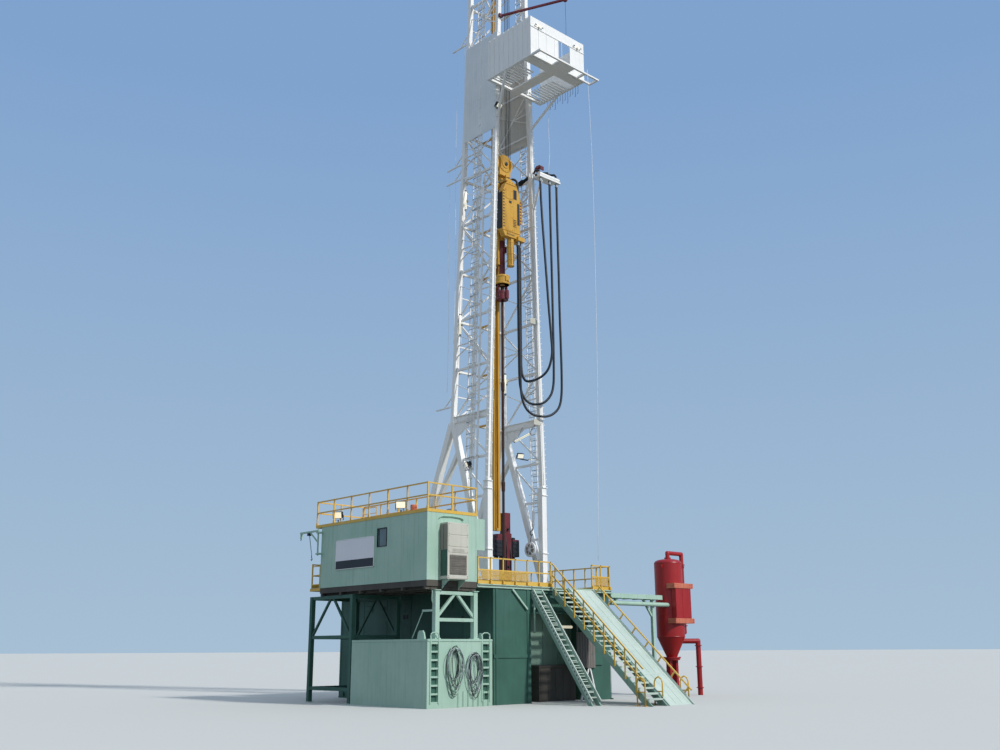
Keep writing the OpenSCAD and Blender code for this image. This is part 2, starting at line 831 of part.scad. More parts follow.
// The ladder on the far side, with its safety cage
module mast_ladder() {
    z0 = floor_h + 1900;
    z1 = crown_h - 2200;
    color(white) {
        for (x = [0, ladder_w - 20])
            band(1, girt_w / 2 + 11.5, 20, ladder_x + x, 20, z0, z1);
        for (z = [z0 + 100:300:z1 - 50])
            translate([ladder_x, ladder_y(z), z]) cube([ladder_w, 16, 16]);
        for (z = [z0 + 500:900:z1 - 100]) if (z < wind_wall_foot - 60 || z > wind_wall_foot + wind_wall_h + 60)
            translate([ladder_x + ladder_w / 2, ladder_y(z) + 10, z]) difference() {
                cylinder(r = 200, h = 24, $fn = 32);
                translate([0, 0, -1]) cylinder(r = 190, h = 26, $fn = 32);
                translate([-201, -240, -1]) cube([402, 240, 26]);
            }
        for (z = [z0 + 500:900:z1 - 100], s = [-1, 1])
            if (z < wind_wall_foot - 60 || z > wind_wall_foot + wind_wall_h + 60)
            translate([ladder_x + ladder_w / 2 + (s > 0 ? ladder_w / 2 - 6 : -201), ladder_y(z), z])
                cube([201 - ladder_w / 2 + 6, 14, 24]);
    }
}

function ladder_y(z) = half_at(z) + girt_w / 2;

// The tray of cables and pipes on the driller's side
module cable_tray() {
    z0 = 5150;
    z1 = mast_parallel;
    color(white)
        mirror([0, 1, 0]) {
            for (x = [-330, -190, -50])
                band(1, girt_w / 2 + 11.5, 20, x, 20, z0, z1);
            for (z = [z0 + 60:260:z1 - 50])
                translate([-325, ladder_y(z) + 2, z]) cube([290, 16, 30]);
        }
}

// Racking board

beam_under = board_h - 60;

board_rear = mast_front + leg_w / 2 + seat_gap;
finger_w = 30;
finger_pitch = 100;

module board_frame() {
    color(white) {
        translate([board_rear, -board_half, beam_under]) cube([80, 2 * board_half, 60]);
        for (y = [-board_half, board_half - 60])
            translate([board_rear, y, beam_under]) cube([board_front - board_rear, 60, 60]);
        translate([board_front - 300, -board_half, beam_under]) cube([300, 2 * board_half, 40]);
        difference() {
            translate([board_front, -board_half, beam_under - 20])
                cube([walkway_front - board_front, 2 * board_half + 200, 40]);
            for (bay = [[-920, 660], [300, 340], [700, 420]])
                translate([board_front + 50, bay[0], beam_under - 21])
                    cube([walkway_front - board_front - 100, bay[1], 42]);
        }
        translate([board_rear + 79, -150, beam_under]) cube([board_front - board_rear - 80, 300, 40]);
        for (s = [-1, 1]) {
            bar([board_rear + 25, s * half_at(board_h - 900), board_h - 900],
                [board_rear + 700, s * (board_half - 30), beam_under + 10], 50);
            translate([board_rear, s * half_at(board_h - 900) - 40, board_h - 960]) cube([30, 80, 120]);
        }
    }
}

module board_fingers() {
    color(white)
        for (i = [0:finger_count - 1], s = [-1, 1])
            translate([board_rear + 130 + i * finger_pitch, s > 0 ? 330 : -board_half + 60, beam_under + 15])
                cube([finger_w, board_half - 390, 30]);
}

module board_walls() {
    color(white) {
        for (y = [-board_half, board_half - 20])
            translate([mast_front + leg_w / 2 + 40, y, board_h])
                cube([board_front - mast_front - leg_w / 2 - 40, 20, board_wall_h]);
        difference() {
            translate([board_front - 20, -board_half, board_h]) cube([20, 2 * board_half, board_wall_h]);
            translate([board_front - 21, 20, board_h - 1]) cube([22, 420, 760]);
        }
    }
}

// Plates on the outside of the mast's legs beside the board
module mast_wind_walls() {
    z0 = wind_wall_foot;
    h = wind_wall_h;
    lean = atan(mast_lean);
    color("#c8cdd0")
        for (s = [-1, 1])
            translate([rear_at(z0 + h) - 40, s * (half_at(z0) + leg_w / 2 + seat_gap), z0])
                rotate([s * lean, 0, 0])
                    translate([0, s > 0 ? 0 : -14, 0])
                        cube([mast_front - rear_at(z0 + h) + 95, 14, h]);
}

// The pole boom over the board
module boom() {
    z = 17395;
    from = [mast_front + leg_w / 2 + 30, -half_at(z) + 30, z];
    color("#7a2030")
        bar(from, [1950, 500, z + 225], 50);
    color("#7a2030")
        translate([mast_front + leg_w / 2 + seat_gap, -half_at(z) - 45, z - 45]) cube([60, 110, 90]);
}

saddle_x = 730;

// The white bracket that carries the hoses
module saddle() {
    z = 13150;
    y = half_at(12300);
    color(white) {
        bar([mast_front + leg_w / 2 + 25, y, 12250], [saddle_x, 770, z - 120], 44);
        bar([mast_front + leg_w / 2 + 25, half_at(z) - 5, z - 60], [saddle_x, 980, z - 120], 40);
        translate([saddle_x - 70, 620, z - 140]) cube([140, 770, 40]);
        translate([saddle_x, 640, z - 45]) rotate([-90, 0, 0]) cylinder(r = 60, h = 730, $fn = 32);
        for (z1 = [12250, z - 60])
            translate([mast_front + leg_w / 2 + seat_gap, half_at(z1) - 50, z1 - 60]) cube([30, 100, 120]);
    }
}

arm_heights = [17150, 13520, 13100, 6900];

// Arms behind the driller's side that hold ropes clear of the mast
module arms() {
    color(white)
        for (z = arm_heights) {
            x = rear_at(z) - leg_w / 2 - 1.2;
            translate([x - 640, -half_at(z) - 16, z - 16]) cube([640, 32, 32]);
            translate([x - 20, -half_at(z) - 45, z - 50]) cube([20, 90, 100]);
            bar([x - 10, -half_at(z), z + 260], [x - 330, -half_at(z), z], 22);
            translate([x - 20, -half_at(z + 260) - 30, z + 220]) cube([19.5, 60, 80]);
        }
}

module mast_brackets() {
    saddle();
    arms();
}

// Travelling gear

module travelling_block() {
    half_t = 135;
    color(yellow)
        difference() {
            union() {
                translate([-half_t, 0, block_h]) rotate([0, 90, 0]) cylinder(r = block_r, h = 2 * half_t, $fn = 64);
                translate([-half_t, -block_r * 0.72, block_h - 330]) cube([2 * half_t, block_r * 1.44, 300]);
                translate([-60, -75, drive_top + 40]) cube([120, 150, block_h - 320 - drive_top - 40]);
                translate([-guide_x + guide_w / 2 + move_gap, -130, block_h - 200])
                    cube([guide_x - guide_w / 2 - move_gap - half_t + 10, 260, 260]);
            }
            for (x = sheave_xs, s = [-1, 1])
                translate([x, s * line_y, block_h - 20]) cylinder(r = line_r + 3, h = block_r, $fn = 16);
            translate([half_t - 12, 0, block_h]) rotate([0, 90, 0]) cylinder(r = 45, h = 20, $fn = 32);
        }
}

module top_drive() {
    z0 = drive_h;
    color(yellow) {
        translate([-150, -drive_half, z0 + 220]) cube([cover_front + 10, 2 * drive_half, drive_body_h - 430]);
        translate([cover_front - 150, 0, z0]) rotate([90, 0, 90]) linear_extrude(150)
            polygon([[-cover_half + 90, 0], [cover_half - 90, 0], [cover_half, 150],
                     [cover_half - 10, drive_body_h - 340], [cover_half - 120, drive_body_h - 90],
                     [75, drive_body_h], [-75, drive_body_h], [-cover_half + 120, drive_body_h - 90],
                     [-cover_half + 10, drive_body_h - 340], [-cover_half, 150]]);
        translate([cover_front - 250, 0, z0 + 400]) rotate([90, 0, 90]) linear_extrude(225)
            polygon([[cover_half - 80, 0], [cover_half + 85, 90], [cover_half + 85, 560],
                     [cover_half + 25, 760], [cover_half - 80, 760]]);
        translate([0, 0, stem_foot]) cylinder(r = 62, h = z0 + 240 - stem_foot, $fn = 48);
        translate([240, 70, z0 - 745]) cylinder(r = 92, h = 800, $fn = 48);
        translate([-140, -140, stem_foot + 30]) cube([150, 230, z0 + 240 - stem_foot - 30]);
        translate([-75, -90, drive_top - 260]) cube([150, 180, 300]);
        translate([-guide_x + guide_w / 2 + move_gap, -guide_y - guide_w, z0 + 260])
            cube([guide_x - guide_w / 2 - move_gap - 140, 2 * guide_y + 2 * guide_w, 1000]);
        translate([120, 180, z0 - 50]) cube([300, 235, 110]);
    }
}

module guide_shoes() {
    inner = guide_y + guide_w / 2 + move_gap;
    color(yellow)
        for (s = [-1, 1], z = [drive_h + 260, drive_h + 1060])
            translate([-guide_x - guide_w / 2, s > 0 ? inner : -inner - 22, z])
                cube([guide_w + move_gap - seat_gap, 22, 200]);
}

module pipe_handler() {
    stem_h = stem_foot - seat_gap;
    color(yellow) {
        translate([0, 0, handler_h]) difference() {
            cylinder(r = 175, h = 240, $fn = 64);
            translate([0, 0, -1]) cylinder(r = 60, h = 200, $fn = 48);
        }
        translate([0, 0, handler_h + 190]) cylinder(r = 75, h = stem_h - handler_h - 190, $fn = 48);
        for (s = [-1, 1])
            translate([-22, s * 128 - 22, elevator_h + 120]) cube([44, 44, handler_h - elevator_h - 60]);
        difference() {
            union() {
                translate([0, 0, elevator_h]) cylinder(r = 140, h = 220, $fn = 48);
                translate([-50, -155, elevator_h + 60]) cube([100, 310, 100]);
            }
            translate([0, 0, elevator_h - 1]) cylinder(r = pipe_r + 4, h = 222, $fn = 48);
        }
    }
}

module drill_pipe() {
    color("#4a3030") {
        translate([0, 0, deck_under - 60]) cylinder(r = pipe_r, h = elevator_h + 230 - deck_under + 60, $fn = 32);
        translate([0, 0, elevator_h + 220 + seat_gap]) cylinder(r = pipe_r + 14, h = 120, $fn = 32);
        translate([0, 0, floor_h + 60]) cylinder(r = pipe_r + 10, h = 240, $fn = 32);
    }
}

module drilling_lines() {
    color("#5a5f66")
        for (x = sheave_xs, s = [-1, 1])
            translate([x, s * line_y, block_h + 5]) cylinder(r = line_r, h = crown_axis_h - block_h - 5, $fn = 16);
}

// Hoses, in three runs from the saddle down and round to the loop's lowest point,
// and three runs from there up to the top drive
outer_routes = [
    [[730, 700, 13010], [730, 705, 12600], [760, 720, 11800], [800, 740, 11000], [840, 760, 10200],
     [880, 780, 9400], [925, 805, 8600], [935, 812, 8200], [880, 760, 7850], [770, 670, 7650],
     [610, 535, 7530], [475, 430, 7500]],
    [[730, 1040, 13010], [730, 1042, 12600], [730, 1050, 11800], [725, 1065, 11000],
     [725, 1075, 10200], [720, 1085, 9400], [715, 1095, 8600], [710, 1095, 7900], [705, 1080, 7500],
     [690, 1010, 7230], [640, 875, 7040], [570, 750, 6960], [495, 635, 6940]],
    [[730, 1300, 13010], [730, 1300, 12600], [730, 1305, 11800], [735, 1310, 11000],
     [740, 1315, 10200], [745, 1315, 9400], [755, 1320, 8600], [760, 1325, 7800], [755, 1310, 7250],
     [735, 1240, 6930], [690, 1080, 6740], [630, 890, 6650], [560, 715, 6640]]];
inner_routes = [
    [[475, 430, 7500], [400, 395, 7530], [320, 385, 7660], [280, 380, 7880], [270, 380, 8200],
     [270, 380, 9000], [270, 380, 9900], [270, 380, 10800], [270, 380, 11200]],
    [[495, 635, 6940], [420, 520, 6970], [355, 405, 7080], [315, 320, 7300], [300, 290, 7600],
     [295, 285, 8200], [290, 280, 9000], [290, 280, 9900], [290, 280, 10800], [290, 280, 11200]],
    [[560, 715, 6640], [495, 555, 6670], [435, 400, 6790], [395, 300, 7010], [375, 260, 7350],
     [370, 250, 8200], [365, 245, 9000], [360, 240, 9900], [360, 240, 10800], [360, 240, 11200]]];
join_dirs = [[-80, -55, 0], [-75, -115, 0], [-65, -162, 0]];
hose_sides = 10;

// A round tube swept along a list of points
module swept(points, r, from_dir, to_dir) {
    n = len(points);
    tangents = [for (i = [0:n - 1])
        i == 0 ? from_dir : i == n - 1 ? to_dir : points[i + 1] - points[i - 1]];
    rings = [for (i = [0:n - 1])
        let (t = tangents[i] / norm(tangents[i]), side = cross(t, [0.83, -0.55, 0]),
             u = side / norm(side), v = cross(t, u))
        for (k = [0:hose_sides - 1])
            points[i] + r * (cos(k * 360 / hose_sides) * u + sin(k * 360 / hose_sides) * v)];
    walls = [for (i = [0:n - 2], k = [0:hose_sides - 1])
        let (a = i * hose_sides + k, b = i * hose_sides + (k + 1) % hose_sides)
        each [[a, b, b + hose_sides], [a, b + hose_sides, a + hose_sides]]];
    first = [for (k = [0:hose_sides - 1]) hose_sides - 1 - k];
    last = [for (k = [0:hose_sides - 1]) (n - 1) * hose_sides + k];
    polyhedron(rings, concat([first], walls, [last]));
}

module service_hoses() {
    color(black)
        for (i = [0:2]) swept(outer_routes[i], hose_r, [0, 0, -1], join_dirs[i]);
}

// A drive hose, set back from the end of its service hose by the seat gap
module drive_hose(i) {
    color(black)
        translate(join_dirs[i] / norm(join_dirs[i]) * seat_gap)
            swept(inner_routes[i], hose_r, join_dirs[i], [0, 0, 1]);
}

module drive_hose_short() { drive_hose(0); }
module drive_hose_middle() { drive_hose(1); }
module drive_hose_long() { drive_hose(2); }

module roughneck() {
    x = -330;
    y = 360;
    color("#5a1a20") {
        translate([x - 90, y - 90, floor_h]) cube([180, 180, 1950]);
        translate([x - 110, y - 110, floor_h]) cube([220, 220, 1450]);
        translate([x - 90, y - 330, floor_h + 1000]) cube([180, 240, 420]);
        translate([x - 60, y + 80, floor_h + 850]) cube([120, 120, 450]);
    }
    color(black) {
        translate([x - 130, y - 440, floor_h + 900]) cube([230, 300, 410]);
        translate([x - 130, y + 150, floor_h + 900]) cube([230, 220, 410]);
    }
}

module raising_sheave() {
    color(white)
        translate([sheave_x, sheave_y, sheave_h]) rotate([90, 0, 0]) difference() {
            translate([0, 0, -22]) rotate_extrude($fn = 48)
                polygon([[30, 0], [180, 0], [180, 10], [165, 20], [165, 24], [180, 34], [180, 44], [30, 44]]);
            for (i = [0:4])
                rotate(i * 72) translate([105, 0, -30]) cylinder(r = 30, h = 60, $fn = 24);
        }
}

// Gas separator, a shell with its two ends and its fittings

module at_separator() {
    translate([sep_x, sep_y, 0]) children();
}

module separator_shell() {
    color(red)
        at_separator()
            translate([0, 0, sep_foot]) difference() {
                cylinder(r = sep_r, h = sep_shell_h, $fn = 64);
                translate([0, 0, -1]) cylinder(r = sep_r - sep_wall, h = sep_shell_h + 2, $fn = 64);
            }
}

module separator_ends() {
    top = sep_foot + sep_shell_h;
    color(red)
        at_separator() {
            translate([0, 0, top]) rotate_extrude($fn = 64)
                polygon([[0, 0], [sep_r, 0], [sep_r - 6, 25], [sep_r - 30, 55], [sep_r - 80, 80],
                         [sep_r - 160, 97], [0, 105]]);
            translate([0, 0, sep_foot - cone_h]) rotate_extrude($fn = 64)
                polygon([[0, 0], [110, 0], [sep_r, cone_h], [0, cone_h]]);
        }
}

// The shell and its cone, a little larger, that the fittings are cut by
module separator_body() {
    g = seat_gap;
    rotate_extrude($fn = 64)
        polygon([[0, sep_foot - cone_h - 1], [110 + g, sep_foot - cone_h - 1], [sep_r + g, sep_foot],
                 [sep_r + g, sep_foot + sep_shell_h + g], [0, sep_foot + sep_shell_h + g]]);
}

module separator_fittings() {
    top = sep_foot + sep_shell_h;
    ring = sep_foot - cone_h;
    vent = sep_r + 205;
    pipe = 52;
    arch = top + 255;
    low = sep_foot + 110;
    out = [360, 570, sep_foot - 100];
    color(red)
        at_separator() {
            translate([0, 0, ring - 40]) cylinder(r = 190, h = 40, $fn = 48);
            translate([0, 0, top + 105]) cylinder(r = 80, h = 40, $fn = 32);
            translate([0, 0, top + 140]) cylinder(r = pipe, h = arch - top - 140, $fn = 32);
            translate([0, 0, arch]) sphere(r = pipe, $fn = 32);
            translate([0, 0, arch]) rotate([-90, 0, 0]) cylinder(r = pipe - 1, h = vent, $fn = 32);
            translate([0, vent, arch]) sphere(r = pipe, $fn = 32);
            translate([0, vent, low]) cylinder(r = pipe, h = arch - low, $fn = 32);
            translate([0, vent, low]) sphere(r = pipe + 1, $fn = 32);
            difference() {
                union() {
                    translate([0, vent, low]) rotate([90, 0, 0]) cylinder(r = pipe - 1, h = 300, $fn = 32);
                    translate([sep_r - 60, -245, sep_foot + 425]) cube([112, 585, 700]);
                    translate([out.x, out.y, 0]) cylinder(r = 60, h = out.z, $fn = 32);
                    translate(out) sphere(r = 61, $fn = 32);
                    translate(out) rotate([0, 0, atan2(out.y, out.x)]) rotate([0, -90, 0])
                        cylinder(r = 59, h = 520, $fn = 32);
                }
                separator_body();
            }
        }
    color("#c86048")
        at_separator()
            for (z = [sep_foot + 310, sep_foot + 1130])
                difference() {
                    translate([150, -290, z]) cube([250, 710, 110]);
                    translate([0, 0, z - 1]) cylinder(r = sep_r + seat_gap, h = 112, $fn = 64);
                }
    color(green)
        at_separator()
            for (s = [-1, 1])
                translate([-60, s * 115 - 40, 0]) cube([120, 80, ring - 40]);
}

trough_x = 2300;
trough_end = 2850;

module flow_trough() {
    z = 2190;
    from = floor_far + 30;
    color(green) {
        translate([trough_x - 150, from, z]) cube([300, trough_end - from, 90]);
        for (y = [trough_end - 240])
            translate([trough_x - 35, y, 0]) cube([70, 70, z]);
        bar([trough_x, trough_end - 205, z - 420], [trough_x, trough_end - 560, z + 20], 44);
        translate([trough_x - 150, floor_far, z + 20]) cube([300, 40, 60]);
    }
    color(red) {
        difference() {
            translate([trough_x + 60, from + 40, z - 110]) rotate([-90, 0, 0])
                cylinder(r = 50, h = sep_y - from - 150, $fn = 32);
            translate([sep_x, sep_y, z - 300]) cylinder(r = sep_r + seat_gap, h = 400, $fn = 64);
        }
        translate([trough_x + 20, from + 200, z - 110]) cube([80, 60, 120]);
        translate([trough_x + 20, trough_end - 300, z - 110]) cube([80, 60, 120]);
    }
}

placed() side_boxes();
placed() floor_beams();
placed() drill_floor();
placed() rotary_table();
placed() floor_rails_front();
placed() floor_rails_back();
placed() v_door_ramp();
placed() stair_stringers();
placed() stair_treads();
placed() stair_rails();
placed() doghouse_base();
placed() doghouse_end_walls();
placed() doghouse_outer_wall();
placed() doghouse_inner_wall();
placed() doghouse_roof();
placed() roof_rails();
placed() window_panes();
placed() doghouse_doors();
placed() air_conditioner();
placed() notice_board();
placed() roof_lamps();
placed() front_tower();
placed() rear_tower();
placed() tool_box();
placed() rear_landing();
placed() landing_gate();
placed() davit_arm();
placed() mast_driller_side();
placed() mast_far_side();
placed() mast_back();
placed() a_frame();
placed() crown_frame();
placed() crown_sheaves();
placed() guide_rails();
placed() mast_ladder();
placed() cable_tray();
placed() board_frame();
placed() board_fingers();
placed() board_walls();
placed() mast_wind_walls();
placed() boom();
placed() mast_brackets();
placed() travelling_block();
placed() top_drive();
placed() guide_shoes();
placed() pipe_handler();
placed() drill_pipe();
placed() drilling_lines();
placed() service_hoses();
placed() drive_hose_short();
placed() drive_hose_middle();
placed() drive_hose_long();
placed() roughneck();
placed() raising_sheave();
placed() separator_shell();
placed() separator_ends();
placed() separator_fittings();
placed() flow_trough();
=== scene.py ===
"""The looks of the land drilling rig, laid out as an add-on and run as a script around its CAD frame."""
import random
from math import copysign, cos, pi, radians, sin, tan, tau

import bpy
from mathutils import Matrix, Vector


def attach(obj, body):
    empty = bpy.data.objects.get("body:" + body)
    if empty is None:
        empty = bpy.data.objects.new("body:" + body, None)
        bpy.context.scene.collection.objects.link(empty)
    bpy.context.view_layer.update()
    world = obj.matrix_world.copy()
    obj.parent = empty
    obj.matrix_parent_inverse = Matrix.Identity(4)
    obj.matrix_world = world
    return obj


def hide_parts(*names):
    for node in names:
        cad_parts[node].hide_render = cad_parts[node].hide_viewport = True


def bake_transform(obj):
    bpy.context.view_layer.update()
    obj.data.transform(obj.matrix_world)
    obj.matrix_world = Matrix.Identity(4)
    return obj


bl_info = {
    "name": "Land drilling rig",
    "version": (1, 0, 0),
    "blender": (4, 5, 0),
    "location": "3D View > Sidebar > Drilling Rig",
    "description": "Dresses the half-scale land drilling rig around its CAD frame",
    "category": "Object",
}

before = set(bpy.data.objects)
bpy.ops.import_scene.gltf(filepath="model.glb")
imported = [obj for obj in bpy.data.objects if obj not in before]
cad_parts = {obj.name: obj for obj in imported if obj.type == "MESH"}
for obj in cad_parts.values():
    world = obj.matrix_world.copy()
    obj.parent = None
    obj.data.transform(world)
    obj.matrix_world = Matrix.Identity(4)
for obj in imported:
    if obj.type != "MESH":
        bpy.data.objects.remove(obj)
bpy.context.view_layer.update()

X, Y, Z = (1, 0, 0), (0, 1, 0), (0, 0, 1)
# The well axis in the part's frame, in metres
WELL = Vector((0.255, 2.04, 0.0))
DECK = 2350
REAR = -2950
RAMP_DROP = 2325
SLOPE = radians(41.8)
DOG = ((-1225, -4315, 2375), (2460, -3035, 3735))
MAST_FRONT = 445
CROWN = 23400
BOARD = 15350
# Heights of the block's centre and of the crown sheaves' shaft
BLOCK_H = 13370
SHEAVE_H = 23730
# The two side boxes' faces across, and the three service hoses' rows
BOXES = ((-2565, -1515), (300, 1000))
HOSE_ROWS = (700, 1040, 1300)
# The top drive's front face
DRIVE_FACE = 359
# The paints that the panel sets
PAINTS = ("green", "yellow", "white", "red")
# The mast: its half width at the foot, where it narrows, its lowest girt and its panels' height
MAST_HALF = 905
TAPER_FROM, TAPER_TO = 4750, 18200
FIRST_GIRT, PANEL = 6500, 1300
GIRTS = [FIRST_GIRT + PANEL * i for i in range(14)]
# The wind walls' lower and upper edges
WIND_LOW, WIND_HIGH = 14100, 16880
SEP = (2200, 3430)
SEP_R = 335
SHEAVE = (194.5, 700, 3400)


def hex_rgb(text):
    """An sRGB hex colour as linear numbers with alpha."""
    values = [int(text[i:i + 2], 16) / 255 for i in (1, 3, 5)]
    return tuple(c / 12.92 if c <= 0.04045 else ((c + 0.055) / 1.055) ** 2.4 for c in values) + (1.0,)


def add(tree, kind, inputs=(), **settings):
    """Adds one shader node with its settings, values and links."""
    made = tree.nodes.new("ShaderNode" + kind)
    for key, value in settings.items():
        setattr(made, key, value)
    for key, value in dict(inputs).items():
        if isinstance(value, bpy.types.NodeSocket):
            tree.links.new(value, made.inputs[key])
        else:
            made.inputs[key].default_value = value
    return made


def around(count, r=1.0, start=0.0):
    """Points (across, up) evenly round a circle."""
    return [(r * cos(a), r * sin(a)) for a in (start + tau * k / count for k in range(count))]


def arc(steps, whole=tau):
    """Values from nought to the whole in even steps."""
    return [whole * i / steps for i in range(steps + 1)]


def rod(r, low, high):
    """The outline of a plain cylinder for a lathe."""
    return [(0, low), (r, low), (r, high), (0, high)]


def raised(z):
    """A step straight up."""
    return Vector((0, 0, z))


def rectangle(a, b):
    """The corners of a rectangle from its half width and half height."""
    return [(-a, -b), (a, -b), (a, b), (-a, b)]


def half_at(z):
    """Half the mast's width at height z, in millimetres."""
    return MAST_HALF if z < TAPER_FROM else MAST_HALF - 0.031 * (min(z, TAPER_TO) - TAPER_FROM)


def rear_at(z):
    """Where the mast's rear legs stand at height z, in millimetres."""
    return -875 + 0.0157 * (max(z, FIRST_GIRT) - FIRST_GIRT)


# Materials. Each starts from a paint or metal as it is bought, and its wear sits on top.


def painted(name):
    """A new material with its tree, its shader and the place on the piece."""
    mat = bpy.data.materials.new(name)
    mat.use_nodes = True
    tree = mat.node_tree
    return mat, tree, tree.nodes["Principled BSDF"], add(tree, "TexCoord").outputs["Object"]


def enamel(name, base, faded, grime, rough=0.42, streak=0.35, orange_peel=0.04):
    """Sprayed alkyd machinery enamel: fades in patches, runs down in rain streaks, slight orange peel."""
    mat, tree, shader, place = painted(name)
    patch = add(tree, "TexNoise", {"Vector": place, "Scale": 1.3, "Detail": 5.0, "Roughness": 0.6})
    fade = add(tree, "MapRange", {"Value": patch.outputs["Fac"], "From Min": 0.38, "From Max": 0.68})
    tone = add(tree, "Mix", {0: fade.outputs["Result"], 6: base, 7: faded}, data_type="RGBA")
    tall = add(tree, "Mapping", {"Vector": place, "Scale": (14.0, 14.0, 0.9)})
    run = add(tree, "TexNoise", {"Vector": tall.outputs[0], "Scale": 1.0, "Detail": 6.0, "Roughness": 0.65})
    soil = add(tree, "MapRange", {"Value": run.outputs["Fac"], "From Min": 0.52, "From Max": 0.8,
                                  "To Max": streak})
    dirty = add(tree, "Mix", {0: soil.outputs["Result"], 6: tone.outputs[2], 7: grime}, data_type="RGBA")
    tree.links.new(dirty.outputs[2], shader.inputs["Base Color"])
    gloss = add(tree, "MapRange", {"Value": run.outputs["Fac"], "To Min": rough - 0.06,
                                   "To Max": rough + 0.16})
    tree.links.new(gloss.outputs["Result"], shader.inputs["Roughness"])
    # Orange peel is about 2 mm across, drawn at 8 mm so that it shows at all
    peel = add(tree, "TexNoise", {"Vector": place, "Scale": 120.0, "Detail": 2.0})
    dent = add(tree, "TexNoise", {"Vector": place, "Scale": 3.2, "Detail": 2.0})
    both = add(tree, "Math", {0: peel.outputs["Fac"], 1: orange_peel}, operation="MULTIPLY")
    height = add(tree, "Math", {0: dent.outputs["Fac"], 1: both.outputs[0]}, operation="ADD")
    bump = add(tree, "Bump", {"Height": height.outputs[0], "Strength": 0.25, "Distance": 0.01})
    tree.links.new(bump.outputs[0], shader.inputs["Normal"])
    shader.inputs["IOR"].default_value = 1.5
    return mat


def metal(name, base, worn, rough, metallic=1.0, grain=(40.0, 40.0, 40.0)):
    """Bare or greased steel with a directional grain and darker, rougher patches."""
    mat, tree, shader, place = painted(name)
    grained = add(tree, "Mapping", {"Vector": place, "Scale": grain})
    noise = add(tree, "TexNoise", {"Vector": grained.outputs[0], "Scale": 1.0, "Detail": 5.0})
    tone = add(tree, "Mix", {0: noise.outputs["Fac"], 6: base, 7: worn}, data_type="RGBA")
    tree.links.new(tone.outputs[2], shader.inputs["Base Color"])
    gloss = add(tree, "MapRange", {"Value": noise.outputs["Fac"], "To Min": rough - 0.1,
                                   "To Max": rough + 0.15})
    tree.links.new(gloss.outputs["Result"], shader.inputs["Roughness"])
    bump = add(tree, "Bump", {"Height": noise.outputs["Fac"], "Strength": 0.15, "Distance": 0.003})
    tree.links.new(bump.outputs[0], shader.inputs["Normal"])
    shader.inputs["Metallic"].default_value = metallic
    return mat


def rubber(name, base, dusty):
    """Extruded synthetic rubber hose cover: matt black with a fine cloth-wrap print and dust."""
    mat, tree, shader, place = painted(name)
    dust = add(tree, "TexNoise", {"Vector": place, "Scale": 5.0, "Detail": 5.0})
    tone = add(tree, "Mix", {0: dust.outputs["Fac"], 6: base, 7: dusty}, data_type="RGBA")
    tree.links.new(tone.outputs[2], shader.inputs["Base Color"])
    # The wrap's print is 1 mm apart on the model, drawn at 12 mm so that it shows
    wrap = add(tree, "TexWave", {"Vector": place, "Scale": 26.0, "Distortion": 1.0}, bands_direction="Z")
    bump = add(tree, "Bump", {"Height": wrap.outputs["Fac"], "Strength": 0.3, "Distance": 0.002})
    tree.links.new(bump.outputs[0], shader.inputs["Normal"])
    shader.inputs["Roughness"].default_value = 0.48
    return mat


def glazing(name, tint, rough):
    """Laminated window glass, tinted, with the room's dark behind it."""
    mat, tree, shader, place = painted(name)
    smear = add(tree, "TexNoise", {"Vector": place, "Scale": 4.0, "Detail": 4.0})
    tone = add(tree, "Mix", {0: smear.outputs["Fac"], 6: tint, 7: hex_rgb("#56707A")}, data_type="RGBA")
    tree.links.new(tone.outputs[2], shader.inputs["Base Color"])
    shader.inputs["Roughness"].default_value = rough
    shader.inputs["Coat Weight"].default_value = 1.0
    shader.inputs["Coat Roughness"].default_value = 0.03
    return mat


def lamp_lens(name, glow):
    """Prismatic borosilicate lamp lens: near white, glossy, with a faint glow of its own."""
    mat, tree, shader, place = painted(name)
    ribs = add(tree, "TexWave", {"Vector": place, "Scale": 30.0})
    tone = add(tree, "Mix", {0: ribs.outputs["Fac"], 6: hex_rgb("#F4F1DC"), 7: hex_rgb("#FFFDF4")},
               data_type="RGBA")
    tree.links.new(tone.outputs[2], shader.inputs["Base Color"])
    shader.inputs["Roughness"].default_value = 0.2
    shader.inputs["Emission Color"].default_value = hex_rgb("#FFF6D8")
    shader.inputs["Emission Strength"].default_value = glow
    return mat


